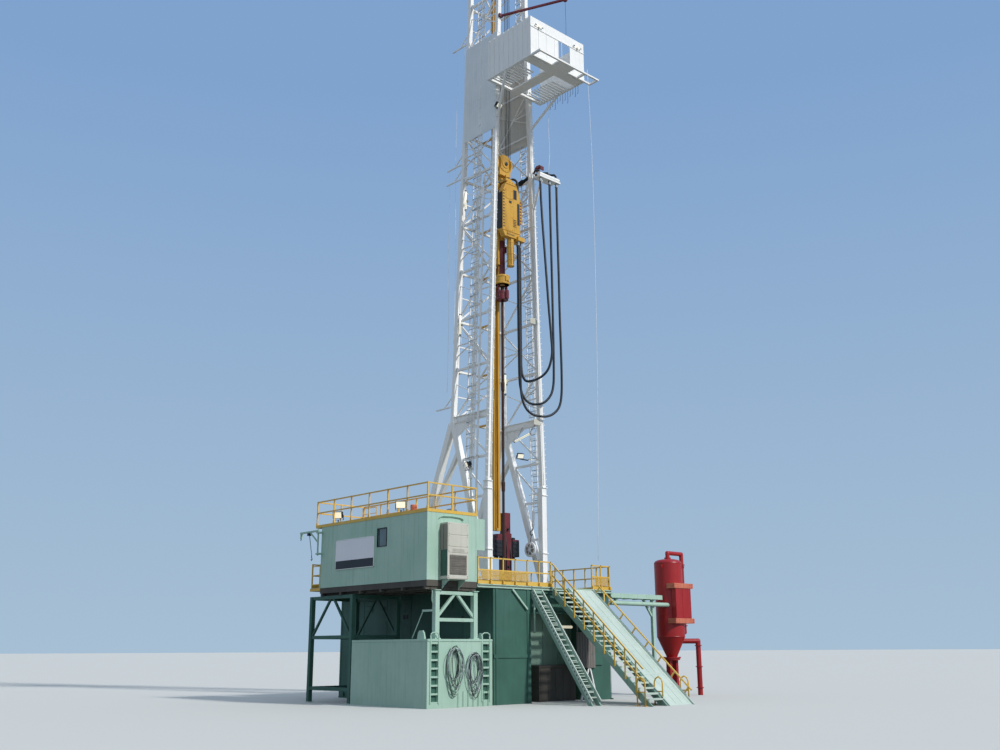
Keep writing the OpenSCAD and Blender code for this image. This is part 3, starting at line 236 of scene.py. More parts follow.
# Each look: the function that makes it, the paint or metal, and then its colours and values. A colour by
# name is one of the rig's settings. The comment says what the eye sees.
LOOKS = {
    # Pale machinery green, sprayed, chalked by the sun
    "green": (enamel, "Alkyd enamel pale green", "green", "#B3D0C1", "#6A8577"),
    # The substructure's pale green, darkened as painted shade under the drill floor and doghouse, with dust
    # streaks
    "deep": (enamel, "Alkyd enamel aged green", "#365F52", "#406C5F", "#1F332D", 0.5),
    # A middle green with grey streaks, darker than the pale green, on the stair's side plates
    "middle": (enamel, "Alkyd enamel middle green", "#86A798", "#93B3A5", "#4A6459", 0.48),
    # Safety yellow topcoat, slightly warm where it has aged
    "yellow": (enamel, "Safety yellow enamel", "yellow", "#E6C062", "#7A5A3C", 0.4, 0.25),
    # Thicker amber yellow of the lifting gear, with oil runs
    "amber": (enamel, "Hoist yellow enamel, oiled", "#D19C30", "#DBAC48", "#3A2A14", 0.38, 0.55),
    # White mast enamel, bright, with grey rain streaks
    "white": (enamel, "White mast enamel", "white", "#FCFCFB", "#A7ACAE", 0.4, 0.25),
    # Ramp sheet, nearly white green, scraped smooth by pipe
    "ramp": (enamel, "Scuffed ramp plate, pale", "#BCCDC3", "#CAD9D0", "#8FA096", 0.35, 0.4),
    # Red tank enamel, deep and fairly glossy
    "red": (enamel, "Tank enamel, signal red", "red", "#AC2629", "#4A0E10", 0.33, 0.35),
    # Orange red, chalky where the sun has faded it
    "clamp": (enamel, "Faded red oxide enamel", "#C8644C", "#D58468", "#7A3A2C", 0.55, 0.35),
    # Dark wine red, dull, nearly black in its greasy patches
    "maroon": (enamel, "Maroon machine enamel", "#64202A", "#7A3038", "#22100F", 0.4, 0.4),
    # Near black with an even satin sheen
    "black": (enamel, "Black powder coat, satin", "#161D26", "#242C36", "#3A3A38", 0.45, 0.3),
    # Flat grey brown under the doghouse, darkened as painted shade of its underside
    "under": (enamel, "Bitumen undercoat, grey brown", "#4C4843", "#59554E", "#2C2A27", 0.7, 0.3),
    # A light blue grey, painted shade on the near wind wall's white, half gloss, with faint rain streaks
    "cool": (enamel, "Wind wall enamel, light grey", "#E4EAEE", "#ECF1F4", "#AEB8BE", 0.5, 0.25),
    # Beige with the soft, even sheen of baked powder
    "beige": (enamel, "Beige powder coat", "#C6C5B8", "#D0CFC4", "#8E8877", 0.5, 0.3),
    # Dull grey brown, darker than the panels round it
    "louvre": (enamel, "Coated louvre mesh, grey brown", "#8A847C", "#96918A", "#5C564F", 0.6, 0.2),
    # Deck plate, worn through to grey steel
    "deck": (enamel, "Worn deck plate", "#5C6B62", "#76827A", "#39423C", 0.55, 0.5, 0.2),
    # Warm near white, dull, with brown runs down its ribs
    "sheet": (enamel, "Ribbed wind wall sheet, beige", "#F6F1E8", "#F8F5EE", "#8C867A", 0.55, 0.3),
    # Flat brown grey cloth without any shine
    "screen": (enamel, "Grey brown tarpaulin sheet", "#77726E", "#868280", "#4F4A46", 0.7, 0.3),
    # Pale grey vinyl, smooth and clean
    "sign": (enamel, "Sign vinyl, pale grey", "#EEEEF6", "#F2F2F8", "#CACAD6", 0.35, 0.15),
    # Navy vinyl, flat and nearly black
    "stripe": (enamel, "Sign vinyl, navy", "#14151F", "#1B1C2A", "#303240", 0.35, 0.15),
    # Mid grey zinc, cloudy, neither bright nor dark
    "zinc": (metal, "Hot-dip galvanised steel", "#AEB3B6", "#8D9295", 0.45, 0.85),
    # Drill pipe steel, rusty brown with mud
    "pipe": (metal, "Mill-scale pipe steel, brown", "#5A3A34", "#2E2220", 0.5, 0.6, (30.0, 30.0, 4.0)),
    # Dark grey wire with the dull shine of grease
    "rope": (metal, "Greased wire rope", "#4C5156", "#2E3236", 0.45, 0.8, (60.0, 60.0, 300.0)),
    # Matt black cover, greyed by a film of dust
    "hose": (rubber, "Synthetic rubber hose cover", "#12171E", "#2A323C"),
    # Dark blue-grey glass that mirrors the sky
    "glass": (glazing, "Tinted laminated glass", "#26363C", 0.08),
    # Near white glass with a faint glow
    "lens": (lamp_lens, "Borosilicate lamp lens", 0.5),
}
FINISHES = {}


def finish(look):
    """The material of that look, made once."""
    if look not in FINISHES:
        kind, *values = LOOKS[look]
        colours = bpy.context.scene.rig_colours
        chosen = [tuple(getattr(colours, v)) if v in PAINTS
                  else hex_rgb(v) if isinstance(v, str) and v.startswith("#") else v for v in values]
        FINISHES[look] = kind(*chosen)
    return FINISHES[look]


# Mesh making. All shapes are drawn about the well axis, in millimetres.


class Parts:
    """A mesh put together from closed pieces."""

    def __init__(self):
        self.points = []
        self.faces = []
        self.smooth = []

    def _add(self, points, faces, smooth=False):
        start = len(self.points)
        self.points += [tuple(p) for p in points]
        self.faces += [[start + i for i in f] for f in faces]
        self.smooth += [smooth] * len(faces)

    def box(self, low, high):
        """A box between two corners."""
        (a, b, c), (d, e, f) = low, high
        points = [(x, y, z) for x in (a, d) for y in (b, e) for z in (c, f)]
        self._add(points, [[0, 1, 3, 2], [4, 6, 7, 5], [0, 4, 5, 1],
                           [2, 3, 7, 6], [0, 2, 6, 4], [1, 5, 7, 3]])

    def profile(self, start, end, outline, up=Z):
        """An outline of (side, up) points drawn from start to end."""
        a, b = Vector(start), Vector(end)
        along = (b - a).normalized()
        side = along.cross(Vector(up))
        if side.length < 1e-4:
            side = along.cross(Vector(X))
        side.normalize()
        rise = side.cross(along)
        n = len(outline)
        points = [p + side * u + rise * v for p in (a, b) for u, v in outline]
        faces = [[i, (i + 1) % n, (i + 1) % n + n, i + n] for i in range(n)]
        self._add(points, faces + [list(range(n))[::-1], list(range(n, 2 * n))])

    def beam(self, start, end, w, h=None, up=Z):
        """A bar of width w and height h."""
        self.profile(start, end, rectangle(w / 2, (w if h is None else h) / 2), up)

    def section(self, start, end, w, h, t, up=Z):
        """A rolled I-section of width w, height h and thickness t."""
        a, b, c = w / 2, h / 2, t / 2
        self.profile(start, end, [(-a, -b), (a, -b), (a, t - b), (c, t - b), (c, b - t), (a, b - t), (a, b),
                                  (-a, b), (-a, b - t), (-c, b - t), (-c, t - b), (-a, t - b)], up)

    def tube(self, line, r, sides=10, smooth=True):
        """A round tube along a line of points."""
        pts = [Vector(p) for p in line]
        n = len(pts)
        rings = []
        side = None
        for i in range(n):
            t = (pts[min(i + 1, n - 1)] - pts[max(i - 1, 0)]).normalized()
            if side is None:
                side = t.cross(Vector((0.3, 0.9, 0.2)))
                if side.length < 0.1:
                    side = t.cross(Vector(X))
            side = (side - t * side.dot(t)).normalized()
            other = t.cross(side)
            rings += [pts[i] + (side * u + other * v) * r for u, v in around(sides)]
        faces = [[i * sides + k, i * sides + (k + 1) % sides, (i + 1) * sides + (k + 1) % sides,
                  (i + 1) * sides + k] for i in range(n - 1) for k in range(sides)]
        self._add(rings, faces, smooth)
        last = len(self.points) - sides
        first = last - (n - 1) * sides
        self.faces += [[first + k for k in range(sides)][::-1], [last + k for k in range(sides)]]
        self.smooth += [False, False]

    def lathe(self, outline, centre, axis=Z, sides=40, sharp=True):
        """An outline of (radius, height) points turned about an axis; it begins and ends on the axis."""
        c, up = Vector(centre), Vector(axis).normalized()
        u = up.cross(Vector(Y) if abs(up.y) < 0.9 else Vector(X)).normalized()
        v = up.cross(u)
        rings = []
        for r, h in outline:
            if r < 1e-6:
                rings.append([len(self.points)])
                self.points.append(tuple(c + up * h))
            else:
                rings.append(list(range(len(self.points), len(self.points) + sides)))
                self.points += [tuple(c + up * h + (u * p + v * q) * r) for p, q in around(sides)]
        for a, b in zip(rings, rings[1:]):
            for k in range(sides):
                m = (k + 1) % sides
                if len(a) == 1 and len(b) > 1:
                    self.faces.append([a[0], b[m], b[k]])
                elif len(b) == 1 and len(a) > 1:
                    self.faces.append([a[k], a[m], b[0]])
                elif len(a) > 1:
                    self.faces.append([a[k], a[m], b[m], b[k]])
                else:
                    continue
                self.smooth.append(not sharp)

    def bolt(self, place, axis, r=9, h=8):
        """A hexagon bolt head with its washer."""
        self.lathe(rod(r * 1.35, 0, 2), place, axis, 12)
        self.lathe(rod(r, 1.5, h), place, axis, 6)

    def plate(self, outline, t, origin, u=X, v=Y):
        """A flat plate of that outline, with thickness t along u cross v."""
        o, a, b = Vector(origin), Vector(u), Vector(v)
        w = a.cross(b) * t
        n = len(outline)
        base = [o + a * x + b * y for x, y in outline]
        faces = [[i, (i + 1) % n, (i + 1) % n + n, i + n] for i in range(n)]
        self._add(base + [p + w for p in base], faces + [list(range(n))[::-1], list(range(n, 2 * n))])

    def make(self, name, look, body="rig", bevel=0.0, replaces=(), slot=None):
        """Turns the pieces into an object in the part's frame, in metres, that rides on a body."""
        mesh = bpy.data.meshes.new(name)
        mesh.from_pydata([tuple(Vector(p) / 1000 + WELL) for p in self.points], [], self.faces)
        mesh.polygons.foreach_set("use_smooth", self.smooth)
        mesh.update()
        obj = bpy.data.objects.new(name, mesh)
        bpy.context.scene.collection.objects.link(obj)
        mesh.materials.append(finish(look))
        if bevel:
            mod = obj.modifiers.new("Rounded edges", "BEVEL")
            mod.width = bevel / 1000
            mod.segments = 2
            mod.limit_method = "ANGLE"
            mod.angle_limit = radians(40)
            mod.harden_normals = False
        if body:
            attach(obj, body)
        if replaces:
            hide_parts(*replaces)
        return obj


def paint_nodes(look, *nodes):
    """Gives CAD nodes their finish."""
    for node in nodes:
        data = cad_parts[node].data
        data.materials.clear()
        data.materials.append(finish(look))


OUTER_ROUTES = [
    [(730, 700, 13010), (730, 705, 12600), (760, 720, 11800), (800, 740, 11000), (840, 760, 10200),
     (880, 780, 9400), (925, 805, 8600), (935, 812, 8200), (880, 760, 7850), (770, 670, 7650),
     (610, 535, 7530), (475, 430, 7500)],
    [(730, 1040, 13010), (730, 1042, 12600), (730, 1050, 11800), (725, 1065, 11000), (725, 1075, 10200),
     (720, 1085, 9400), (715, 1095, 8600), (710, 1095, 7900), (705, 1080, 7500), (690, 1010, 7230),
     (640, 875, 7040), (570, 750, 6960), (495, 635, 6940)],
    [(730, 1300, 13010), (730, 1300, 12600), (730, 1305, 11800), (735, 1310, 11000), (740, 1315, 10200),
     (745, 1315, 9400), (755, 1320, 8600), (760, 1325, 7800), (755, 1310, 7250), (735, 1240, 6930),
     (690, 1080, 6740), (630, 890, 6650), (560, 715, 6640)],
]
INNER_ROUTES = [
    [(475, 430, 7500), (400, 395, 7530), (320, 385, 7660), (280, 380, 7880), (270, 380, 8200),
     (270, 380, 9000), (270, 380, 9900), (270, 380, 10800), (270, 380, 11200)],
    [(495, 635, 6940), (420, 520, 6970), (355, 405, 7080), (315, 320, 7300), (300, 290, 7600),
     (295, 285, 8200), (290, 280, 9000), (290, 280, 9900), (290, 280, 10800), (290, 280, 11200)],
    [(560, 715, 6640), (495, 555, 6670), (435, 400, 6790), (395, 300, 7010), (375, 260, 7350),
     (370, 250, 8200), (365, 245, 9000), (360, 240, 9900), (360, 240, 10800), (360, 240, 11200)],
]
HOSE_R = 30


def smooth_line(points, steps=4):
    """A finer line through the same points."""
    pts = [Vector(p) for p in points]
    out = []
    for i in range(len(pts) - 1):
        a, b = pts[i], pts[i + 1]
        before = pts[i - 1] if i else a - (b - a)
        after = pts[i + 2] if i + 2 < len(pts) else b + (b - a)
        for k in range(steps):
            t = k / steps
            out.append(0.5 * (2 * a + (b - before) * t + (2 * before - 5 * a + 4 * b - after) * t * t
                              + (3 * a - before - 3 * b + after) * t * t * t))
    return out + [pts[-1]]


class RigColours(bpy.types.PropertyGroup):
    """The colours of the rig's paints."""

    green: bpy.props.FloatVectorProperty(name="Green", description="Pale green enamel of the doghouse",
                                         subtype="COLOR", size=4, min=0, max=1, default=hex_rgb("#A5C7B5"))
    yellow: bpy.props.FloatVectorProperty(name="Yellow", description="Safety yellow of the handrails",
                                          subtype="COLOR", size=4, min=0, max=1, default=hex_rgb("#DDB040"))
    white: bpy.props.FloatVectorProperty(name="White", description="White enamel of the mast",
                                         subtype="COLOR", size=4, min=0, max=1, default=hex_rgb("#F7F8F7"))
    red: bpy.props.FloatVectorProperty(name="Red", description="Red enamel of the gas separator",
                                       subtype="COLOR", size=4, min=0, max=1, default=hex_rgb("#A31C1F"))


class RigSizes(bpy.types.PropertyGroup):
    """Sizes of the dressing that a user may change."""

    rope: bpy.props.FloatProperty(name="Rope radius", description="Radius of the hanging ropes",
                                  unit="LENGTH", default=0.004, min=0.002, max=0.01)
    rung: bpy.props.FloatProperty(name="Rung spacing", description="Distance between ladder rungs",
                                  unit="LENGTH", default=0.15, min=0.1, max=0.3)


class RIG_OT_hoses(bpy.types.Operator):
    """Service hoses: the outer runs hang from the saddle, the inner runs go down to the top drive"""

    bl_idname = "rig.hoses"
    bl_label = "Service hoses"

    def execute(self, context):
        names = ("short", "middle", "long")
        for i, points in enumerate(OUTER_ROUTES):
            line = smooth_line(points)
            hose = Parts()
            hose.tube(line, HOSE_R, 16)
            obj = hose.make("service_hose_outer_" + names[i], "hose", "rig", slot="hose_rubber")
            if i == 0:
                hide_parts("service_hoses")
        for i, points in enumerate(INNER_ROUTES):
            line = smooth_line(points)
            hose = Parts()
            hose.tube(line, HOSE_R, 16)
            obj = hose.make("service_hose_inner_" + names[i], "hose", None, slot="hose_rubber")
            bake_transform(obj)
            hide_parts("drive_hose_" + names[i])
        return {"FINISHED"}


class RIG_OT_stage(bpy.types.Operator):
    """Camera at the photograph's place, pale floor, soft sun and sky"""

    bl_idname = "rig.stage"
    bl_label = "Stage"

    def execute(self, context):
        scene = context.scene
        scene.view_settings.view_transform = "Standard"
        # Turn, tilt, roll, lens and place are fitted to the corners in the photograph
        az, tilt, roll = radians(47.223), radians(14.839), radians(-0.266)
        fwd = Vector((-sin(az), cos(az), 0))
        right = Vector((cos(az), sin(az), 0))
        up = Vector(Z)
        look = fwd * cos(tilt) + up * sin(tilt)
        rise = -fwd * sin(tilt) + up * cos(tilt)
        across = right * cos(roll) + rise * sin(roll)
        rise = rise * cos(roll) - right * sin(roll)
        data = bpy.data.cameras.new("Photo camera")
        data.lens = 37.37
        data.sensor_width = 36
        data.sensor_fit = "HORIZONTAL"
        data.clip_end = 2000
        cam = bpy.data.objects.new("Photo camera", data)
        scene.collection.objects.link(cam)
        place = WELL + Vector((18.309, -17.034, 1.056))
        turn = Matrix((across, rise, -look)).transposed().to_4x4()
        cam.matrix_world = Matrix.Translation(place) @ turn
        scene.camera = cam
        lamp = bpy.data.lights.new("Sun", "SUN")
        lamp.energy = 2.6
        lamp.angle = radians(4)
        lamp.color = (1.0, 0.97, 0.92)
        sun = bpy.data.objects.new("Sun", lamp)
        scene.collection.objects.link(sun)
        sun.rotation_euler = Vector((0.78, 0.16, 0.62)).to_track_quat("Z", "Y").to_euler()
        world = bpy.data.worlds.new("Sky")
        scene.world = world
        world.use_nodes = True
        tree = world.node_tree
        ground = tree.nodes["Background"]
        ground.inputs["Color"].default_value = hex_rgb("#D9EAFF")
        ground.inputs["Strength"].default_value = 0.6
        look_up = add(tree, "SeparateXYZ", {0: add(tree, "TexCoord").outputs["Generated"]})
        height = add(tree, "MapRange", {"Value": look_up.outputs["Z"], "From Min": -0.02, "From Max": 0.5})
        sky = add(tree, "Mix", {0: height.outputs["Result"], 6: hex_rgb("#A8C0D4"),
                                7: hex_rgb("#80A3CE")}, data_type="RGBA")
        seen = add(tree, "Background", {"Color": sky.outputs[2], "Strength": 1.0})
        rays = add(tree, "LightPath")
        direct = add(tree, "Math", {0: rays.outputs["Is Camera Ray"],
                                    1: rays.outputs["Is Glossy Ray"]}, operation="MAXIMUM")
        through = add(tree, "Math", {0: direct.outputs[0], 1: rays.outputs["Is Transmission Ray"]},
                      operation="MAXIMUM")
        both = add(tree, "MixShader", {0: through.outputs[0], 1: ground.outputs[0], 2: seen.outputs[0]})
        tree.links.new(both.outputs[0], tree.nodes["World Output"].inputs["Surface"])
        mesh = bpy.data.meshes.new("Floor")
        mesh.from_pydata([(u, v, -0.001) for u, v in around(64, 900)], [], [list(range(64))])
        floor = bpy.data.objects.new("Floor", mesh)
        scene.collection.objects.link(floor)
        mat = bpy.data.materials.new("Pale studio floor")
        mat.use_nodes = True
        tree = mat.node_tree
        paint = tree.nodes["Principled BSDF"]
        # The floor looks pale, and sends only a little light up under the rig
        rays = add(tree, "LightPath")
        tone = add(tree, "Mix", {0: rays.outputs["Is Camera Ray"], 6: hex_rgb("#747671"),
                                 7: hex_rgb("#D2D3CF")}, data_type="RGBA")
        tree.links.new(tone.outputs[2], paint.inputs["Base Color"])
        paint.inputs["Roughness"].default_value = 0.9
        mesh.materials.append(mat)
        return {"FINISHED"}


class RIG_OT_drilling_lines(bpy.types.Operator):
    """Four falls of wire rope between the crown and the block"""

    bl_idname = "rig.drilling_lines"
    bl_label = "Drilling lines"

    def execute(self, context):
        ropes = Parts()
        low = BLOCK_H + 5
        for x in (-90, -30, 30, 90):
            for y in (-223.3, 223.3):
                ropes.tube([(x, y, low + h) for h in arc(24, SHEAVE_H - low)], 8, 10)
        obj = ropes.make("drilling_line_falls", "rope", None, replaces=("drilling_lines",), slot="wire_rope")
        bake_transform(obj)
        return {"FINISHED"}


NODE_LOOKS = {
    "deep": ("side_boxes", "floor_beams", "rear_tower"),
    "middle": ("stair_stringers",),
    "under": ("doghouse_base",),
    "green": ("doghouse_end_walls", "doghouse_outer_wall", "doghouse_inner_wall",
              "doghouse_doors", "front_tower", "tool_box", "davit_arm", "flow_trough"),
    "yellow": ("floor_rails_front", "floor_rails_back", "stair_rails", "doghouse_roof", "roof_rails",
               "rear_landing", "landing_gate"),
    "white": ("mast_driller_side", "mast_far_side", "mast_back", "a_frame", "crown_frame", "board_frame",
              "board_fingers", "board_walls", "mast_brackets", "raising_sheave", "mast_ladder",
              "cable_tray"),
    "amber": ("travelling_block", "top_drive", "guide_rails", "guide_shoes", "crown_sheaves"),
    "ramp": ("v_door_ramp", "stair_treads"),
    "red": ("separator_shell", "separator_ends", "separator_fittings"),
    "deck": ("drill_floor",),
    "zinc": ("rotary_table",),
    "glass": ("window_panes",),
    "beige": ("air_conditioner",),
    "sign": ("notice_board",),
    "cool": ("mast_wind_walls",),
    "maroon": ("boom", "pipe_handler", "roughneck"),
    "pipe": ("drill_pipe",),
    "black": ("roof_lamps", "service_hoses", "drive_hose_short", "drive_hose_middle", "drive_hose_long"),
    "rope": ("drilling_lines",),
}


class RIG_OT_frame_paint(bpy.types.Operator):
    """The finishes of the CAD pieces, with their edges broken as rolled and bent steel's are"""

    bl_idname = "rig.frame_paint"
    bl_label = "Finishes of the CAD pieces"

    def execute(self, context):
        for look, nodes in NODE_LOOKS.items():
            paint_nodes(look, *nodes)
        for node in ("doghouse_outer_wall", "doghouse_end_walls", "air_conditioner", "top_drive",
                     "notice_board", "travelling_block", "front_tower", "tool_box"):
            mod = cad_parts[node].modifiers.new("Rounded edges", "BEVEL")
            mod.width = 0.006
            mod.segments = 2
            mod.limit_method = "ANGLE"
            mod.angle_limit = radians(50)
        return {"FINISHED"}


class RIG_OT_substructure(bpy.types.Operator):
    """Cross bracing, seams, ports, bolted splices, the recess with its chest, and the hung screen"""

    bl_idname = "rig.substructure"
    bl_label = "Substructure"

    def execute(self, context):
        steel = Parts()
        for y0, y1 in BOXES:
            for y in (y0 + 40, y1 - 40):
                steel.beam((REAR + 20, y, 960), (2430, y, 960), 60, 60)
        for x in (-2690, -900, 325):
            steel.section((x, -1515, 1500), (x, 300, 1500), 90, 110, 14)
            steel.beam((x, -1505, 330), (x, 290, 1440), 40, 40)
            steel.beam((x, -1505, 1440), (x, 290, 330), 40, 40)
        steel.beam((2330, -1500, 1830), (2330, 290, 1830), 50, 60)
        steel.make("substructure_cross_bracing", "deep", bevel=2)
        seams = Parts()
        for x in range(REAR + 60, 2391, 880):
            for y in (-2571, 1001):
                seams.box((x - 4, y, 30), (x + 4, y + 5, 2290))
        for y in (-2400, -1680, 460, 840):
            seams.box((REAR - 5, y - 4, 30), (REAR, y + 4, 2290))
        for y0, y1 in BOXES:
            seams.box((REAR - 6, y0 + 10, 1150), (REAR, y1 - 10, 1160))
            for x in (REAR + 160, 2180):
                for y, d in ((y0 - 18, 1), (y1 + 18, -1)):
                    seams.plate([(-70, 0), (70, 0), (70, 60), (30, 120), (-30, 120), (-70, 60)], 16 * d,
                                (x, y, 40), X, Z)
        for y in (-2573, 1001):
            seams.box((REAR + 20, y, 1150), (2420, y + 6, 1162))
            seams.box((REAR, y, 0), (2440, y + 7, 26))
        seams.make("substructure_panel_seams", "deep", bevel=1)
        ports = Parts()
        for x, z in ((-1230, 1980), (-800, 1900), (-500, 1770), (-390, 1770), (1500, 1700), (900, 1980)):
            ports.plate(rectangle(34, 44), 4, (x, -2566, z), X, Z)
            ports.plate(rectangle(24, 34), 3, (x, -2570, z), X, Z)
        ports.make("substructure_port_covers", "black", bevel=1)
        pale = Parts()
        pale.box((2270, -1100, 1885), (2330, -330, 1945))
        pale.beam((2395, 19, 0), (2395, 285, 712), 34, 34, X)
        pale.beam((2395, 518, 0), (2395, 302, 712), 34, 34, X)
        pale.beam((2395, 100, 230), (2395, 445, 230), 24, 24, X)
        pale.make("substructure_prop", "white", bevel=2)
        lamps = Parts()
        tube_lamp(lamps, (2300, -640, 1532), (2300, -120, 1532), 30)
        lamps.make("substructure_tube_lamp", "lens")
        lining = Parts()
        lining.box((1868, -1500, 20), (1874, 290, 2200))
        for y in (-1490, -1050, -600, -150, 270):
            lining.box((1874, y - 14, 20), (1886, y + 14, 2200))
        lining.box((1874, -1500, 1136), (1886, 290, 1164))
        lining.make("substructure_recess_lining", "middle", bevel=1)
        chest = Parts()
        chest.box((1900, -1000, 0), (2150, 105, 690))
        chest.box((1885, -1015, 690), (2165, 120, 742))
        for i in range(5):
            chest.box((2150, -960 + i * 225, 40), (2158, -800 + i * 225, 640))
        chest.make("substructure_equipment_chest", "under", bevel=3)
        sheet = Parts()
        for k in range(7):
            sheet.plate([(0, 0), (30, 14), (60, 0), (60, 4), (30, 18), (0, 4)], -740,
                        (2421, -112 + k * 82, 675), Y, X)
        sheet.box((2416, -115, 672), (2422, 470, 1412))
        sheet.box((2412, -120, 1400), (2426, 475, 1422))
        for y in (-80, 180, 430):
            sheet.beam((2418, y, 1410), (2390, y, 2060), 6, 26, X)
        sheet.make("substructure_screen_sheet", "screen")
        arm = Parts()
        arm.beam((2470, -2050, 2260), (2476, -1640, 1870), 30, 34)
        arm.tube([(2480, -1440, 2262), (2480, -1440, 1390)], 20, 12)
        arm.make("substructure_hanging_arm", "green")
        plates, nuts = Parts(), Parts()
        for x in (REAR + 60, -1700, -700, 400, 1500, 2380):
            for y in (-2545, -1535, 320, 980):
                plates.box((x - 70, y - 19, 0), (x + 50, y + 19, 12))
                for dx in (-50, 30):
                    nuts.bolt((x + dx, y, 12), Z, 7, 8)
        for x in (-1780, -350, 1060):
            plates.box((x - 110, -2579, 80), (x + 110, -2567, 330))
            plates.box((x - 110, -2579, 1900), (x + 110, -2567, 2190))
            for dx in (-80, -27, 27, 80):
                for z in (120, 205, 290, 1940, 2045, 2150):
                    nuts.bolt((x + dx, -2579, z), (0, -1, 0), 9, 9)
        plates.make("substructure_splice_plates", "deep", bevel=1.5)
        nuts.make("substructure_bolts", "deep")
        return {"FINISHED"}


def tube_lamp(lens, start, end, r=26):
    """A tubular lamp with rounded glass between its caps."""
    a, b = Vector(start), Vector(end)
    length = (b - a).length
    lens.lathe([(0, 0), (r * 0.6, 3), (r, 16), (r, length - 16), (r * 0.6, length - 3), (0, length)], a,
               b - a, 16, sharp=False)


def lamp_caps(metalwork, start, end, r=26):
    """End caps and a bracket for a tubular lamp."""
    a, b = Vector(start), Vector(end)
    along = (b - a).normalized()
    for p, d in ((a, -1), (b, 1)):
        metalwork.lathe(rod(r + 3, -6, 30), p - along * d * 24, along * d, 16)
        metalwork.beam(p - along * d * 34, p - along * d * 34 - raised(0.01) + along * d * 12, 14, r * 2.6)


class RIG_OT_deck(bpy.types.Operator):
    """Drill floor: edge channel, raised tread bars, rubber mats, and the rotary's bolts and slips"""

    bl_idname = "rig.deck"
    bl_label = "Drill floor"

    def execute(self, context):
        edge = Parts()
        for y0, y1 in ((-3000, -1520), (-1480, -420), (-370, 1020)):
            edge.box((2460, y0, 2276), (2470, y1, 2300))
            edge.box((2460, y0, 2330), (2472, y1, 2349))
        edge.box((REAR, -3010, 2276), (2460, -3001, 2345))
        edge.box((REAR, 1021, 2276), (2140, 1030, 2345))
        edge.make("floor_edge_channel", "green", bevel=1)
        bars = Parts()
        rng = random.Random(4)
        for i in range(26):
            for j in range(20):
                x = -2820 + i * 205 + rng.uniform(-2, 2)
                y = -2880 + j * 200
                if abs(x) < 420 and abs(y) < 420 or x > 2400 or y > 960:
                    continue
                bars.beam((x - 32, y - 32, DECK + 1), (x + 32, y + 32, DECK + 1), 12, 5)
                bars.beam((x + 70, y + 68, DECK + 1), (x + 134, y + 4, DECK + 1), 12, 5)
        bars.make("floor_tread_bars", "deck")
        mats = Parts()
        for x in (-760, 320):
            mats.box((x, -420, DECK + 0.5), (x + 430, 420, 2362))
        mats.make("floor_rubber_mats", "hose", bevel=3)
        ring = Parts()
        for u, v in around(12, 205):
            ring.bolt((u, v, 2380), Z, 11, 10)
        for x in (-265, 265):
            for y in (-265, 265):
                ring.bolt((x, y, DECK), Z, 14, 11)
        ring.make("rotary_bolts", "zinc")
        slips = Parts()
        for u, v in around(3, 1, 0.3):
            out = Vector((u, v, 0))
            slips.beam(out * 44 + raised(2300), out * 60 + raised(2440), 38, 16, tuple(out))
            slips.tube([out * 60 + raised(2435), out * 120 + raised(2520), out * 190 + raised(2530)], 8, 8)
        slips.make("rotary_slips", "amber")
        return {"FINISHED"}


class RIG_OT_rails(bpy.types.Operator):
    """Rail sockets and infill mesh along the floor, and sockets and a hoop on the roof"""

    bl_idname = "rig.rails"
    bl_label = "Handrail fittings"

    def execute(self, context):
        sockets, mesh = Parts(), Parts()
        runs = [((2448, -2980), (2448, -890), 7), ((2448, 424), (2448, 1005), 3),
                ((REAR + 12, -2985), (REAR + 12, 975), 12), ((REAR + 12, 1008), (2390, 1008), 16),
                ((-2905, -2988), (-1240, -2988), 6)]
        for a, b, posts in runs:
            a, b = Vector(a + (DECK,)), Vector(b + (DECK,))
            for i in range(posts):
                p = a.lerp(b, i / (posts - 1))
                sockets.box((p.x - 20, p.y - 20, DECK), (p.x + 20, p.y + 20, DECK + 70))
                sockets.box((p.x - 34, p.y - 34, DECK), (p.x + 34, p.y + 34, DECK + 8))
                for d in (-27, 27):
                    sockets.bolt((p.x + d, p.y + d, DECK + 8), Z, 5, 5)
                sockets.lathe([(0, 0), (17, 0), (17, 4), (0, 10)], (p.x, p.y, DECK + 534), Z, 12)
        for a, b in (((2448, -2960), (2448, -1500)), ((2448, 430), (2448, 1000))):
            a, b = Vector(a + (DECK,)), Vector(b + (DECK,))
            count = int((b - a).length / 26)
            step = (b - a) / count
            for i in range(count - 5):
                p = a + step * i
                mesh.beam(p + raised(92), p + step * 5.4 + raised(265), 9, 4, X)
                mesh.beam(p + Vector((3, 0, 265)), p + step * 5.4 + Vector((3, 0, 92)), 9, 4, X)
        sockets.make("floor_rail_sockets", "yellow", bevel=1)
        mesh.make("floor_rail_infill", "yellow")
        feet = Parts()
        (x0, y0), (x1, y1, z1) = DOG[0][:2], DOG[1]
        x0 -= 240
        for i in range(7):
            x = x0 + 12 + i * (x1 - x0 - 25) / 6
            for y in (y0 + 12, y1 - 12):
                feet.box((x - 24, y - 14, z1), (x + 24, y + 14, z1 + 60))
                feet.lathe([(0, 0), (17, 0), (17, 4), (0, 9)], (x, y, z1 + 535), Z, 12)
        for i in range(3):
            y = y0 + 12 + i * (y1 - y0 - 25) / 2
            for x in (x0 + 12, x1 - 12):
                feet.box((x - 14, y - 24, z1), (x + 14, y + 24, z1 + 60))
        for x in (-30, 210, 460):
            feet.tube([(x, y0 + 230, z1), (x, y0 + 230, z1 + 260)], 9, 8)
        feet.tube([(-30, y0 + 230, z1 + 255), (460, y0 + 230, z1 + 255)], 9, 8)
        feet.tube([(-30, y0 + 230, z1 + 130), (460, y0 + 230, z1 + 130)], 7, 8)
        feet.make("roof_rail_sockets", "yellow", bevel=1)
        return {"FINISHED"}


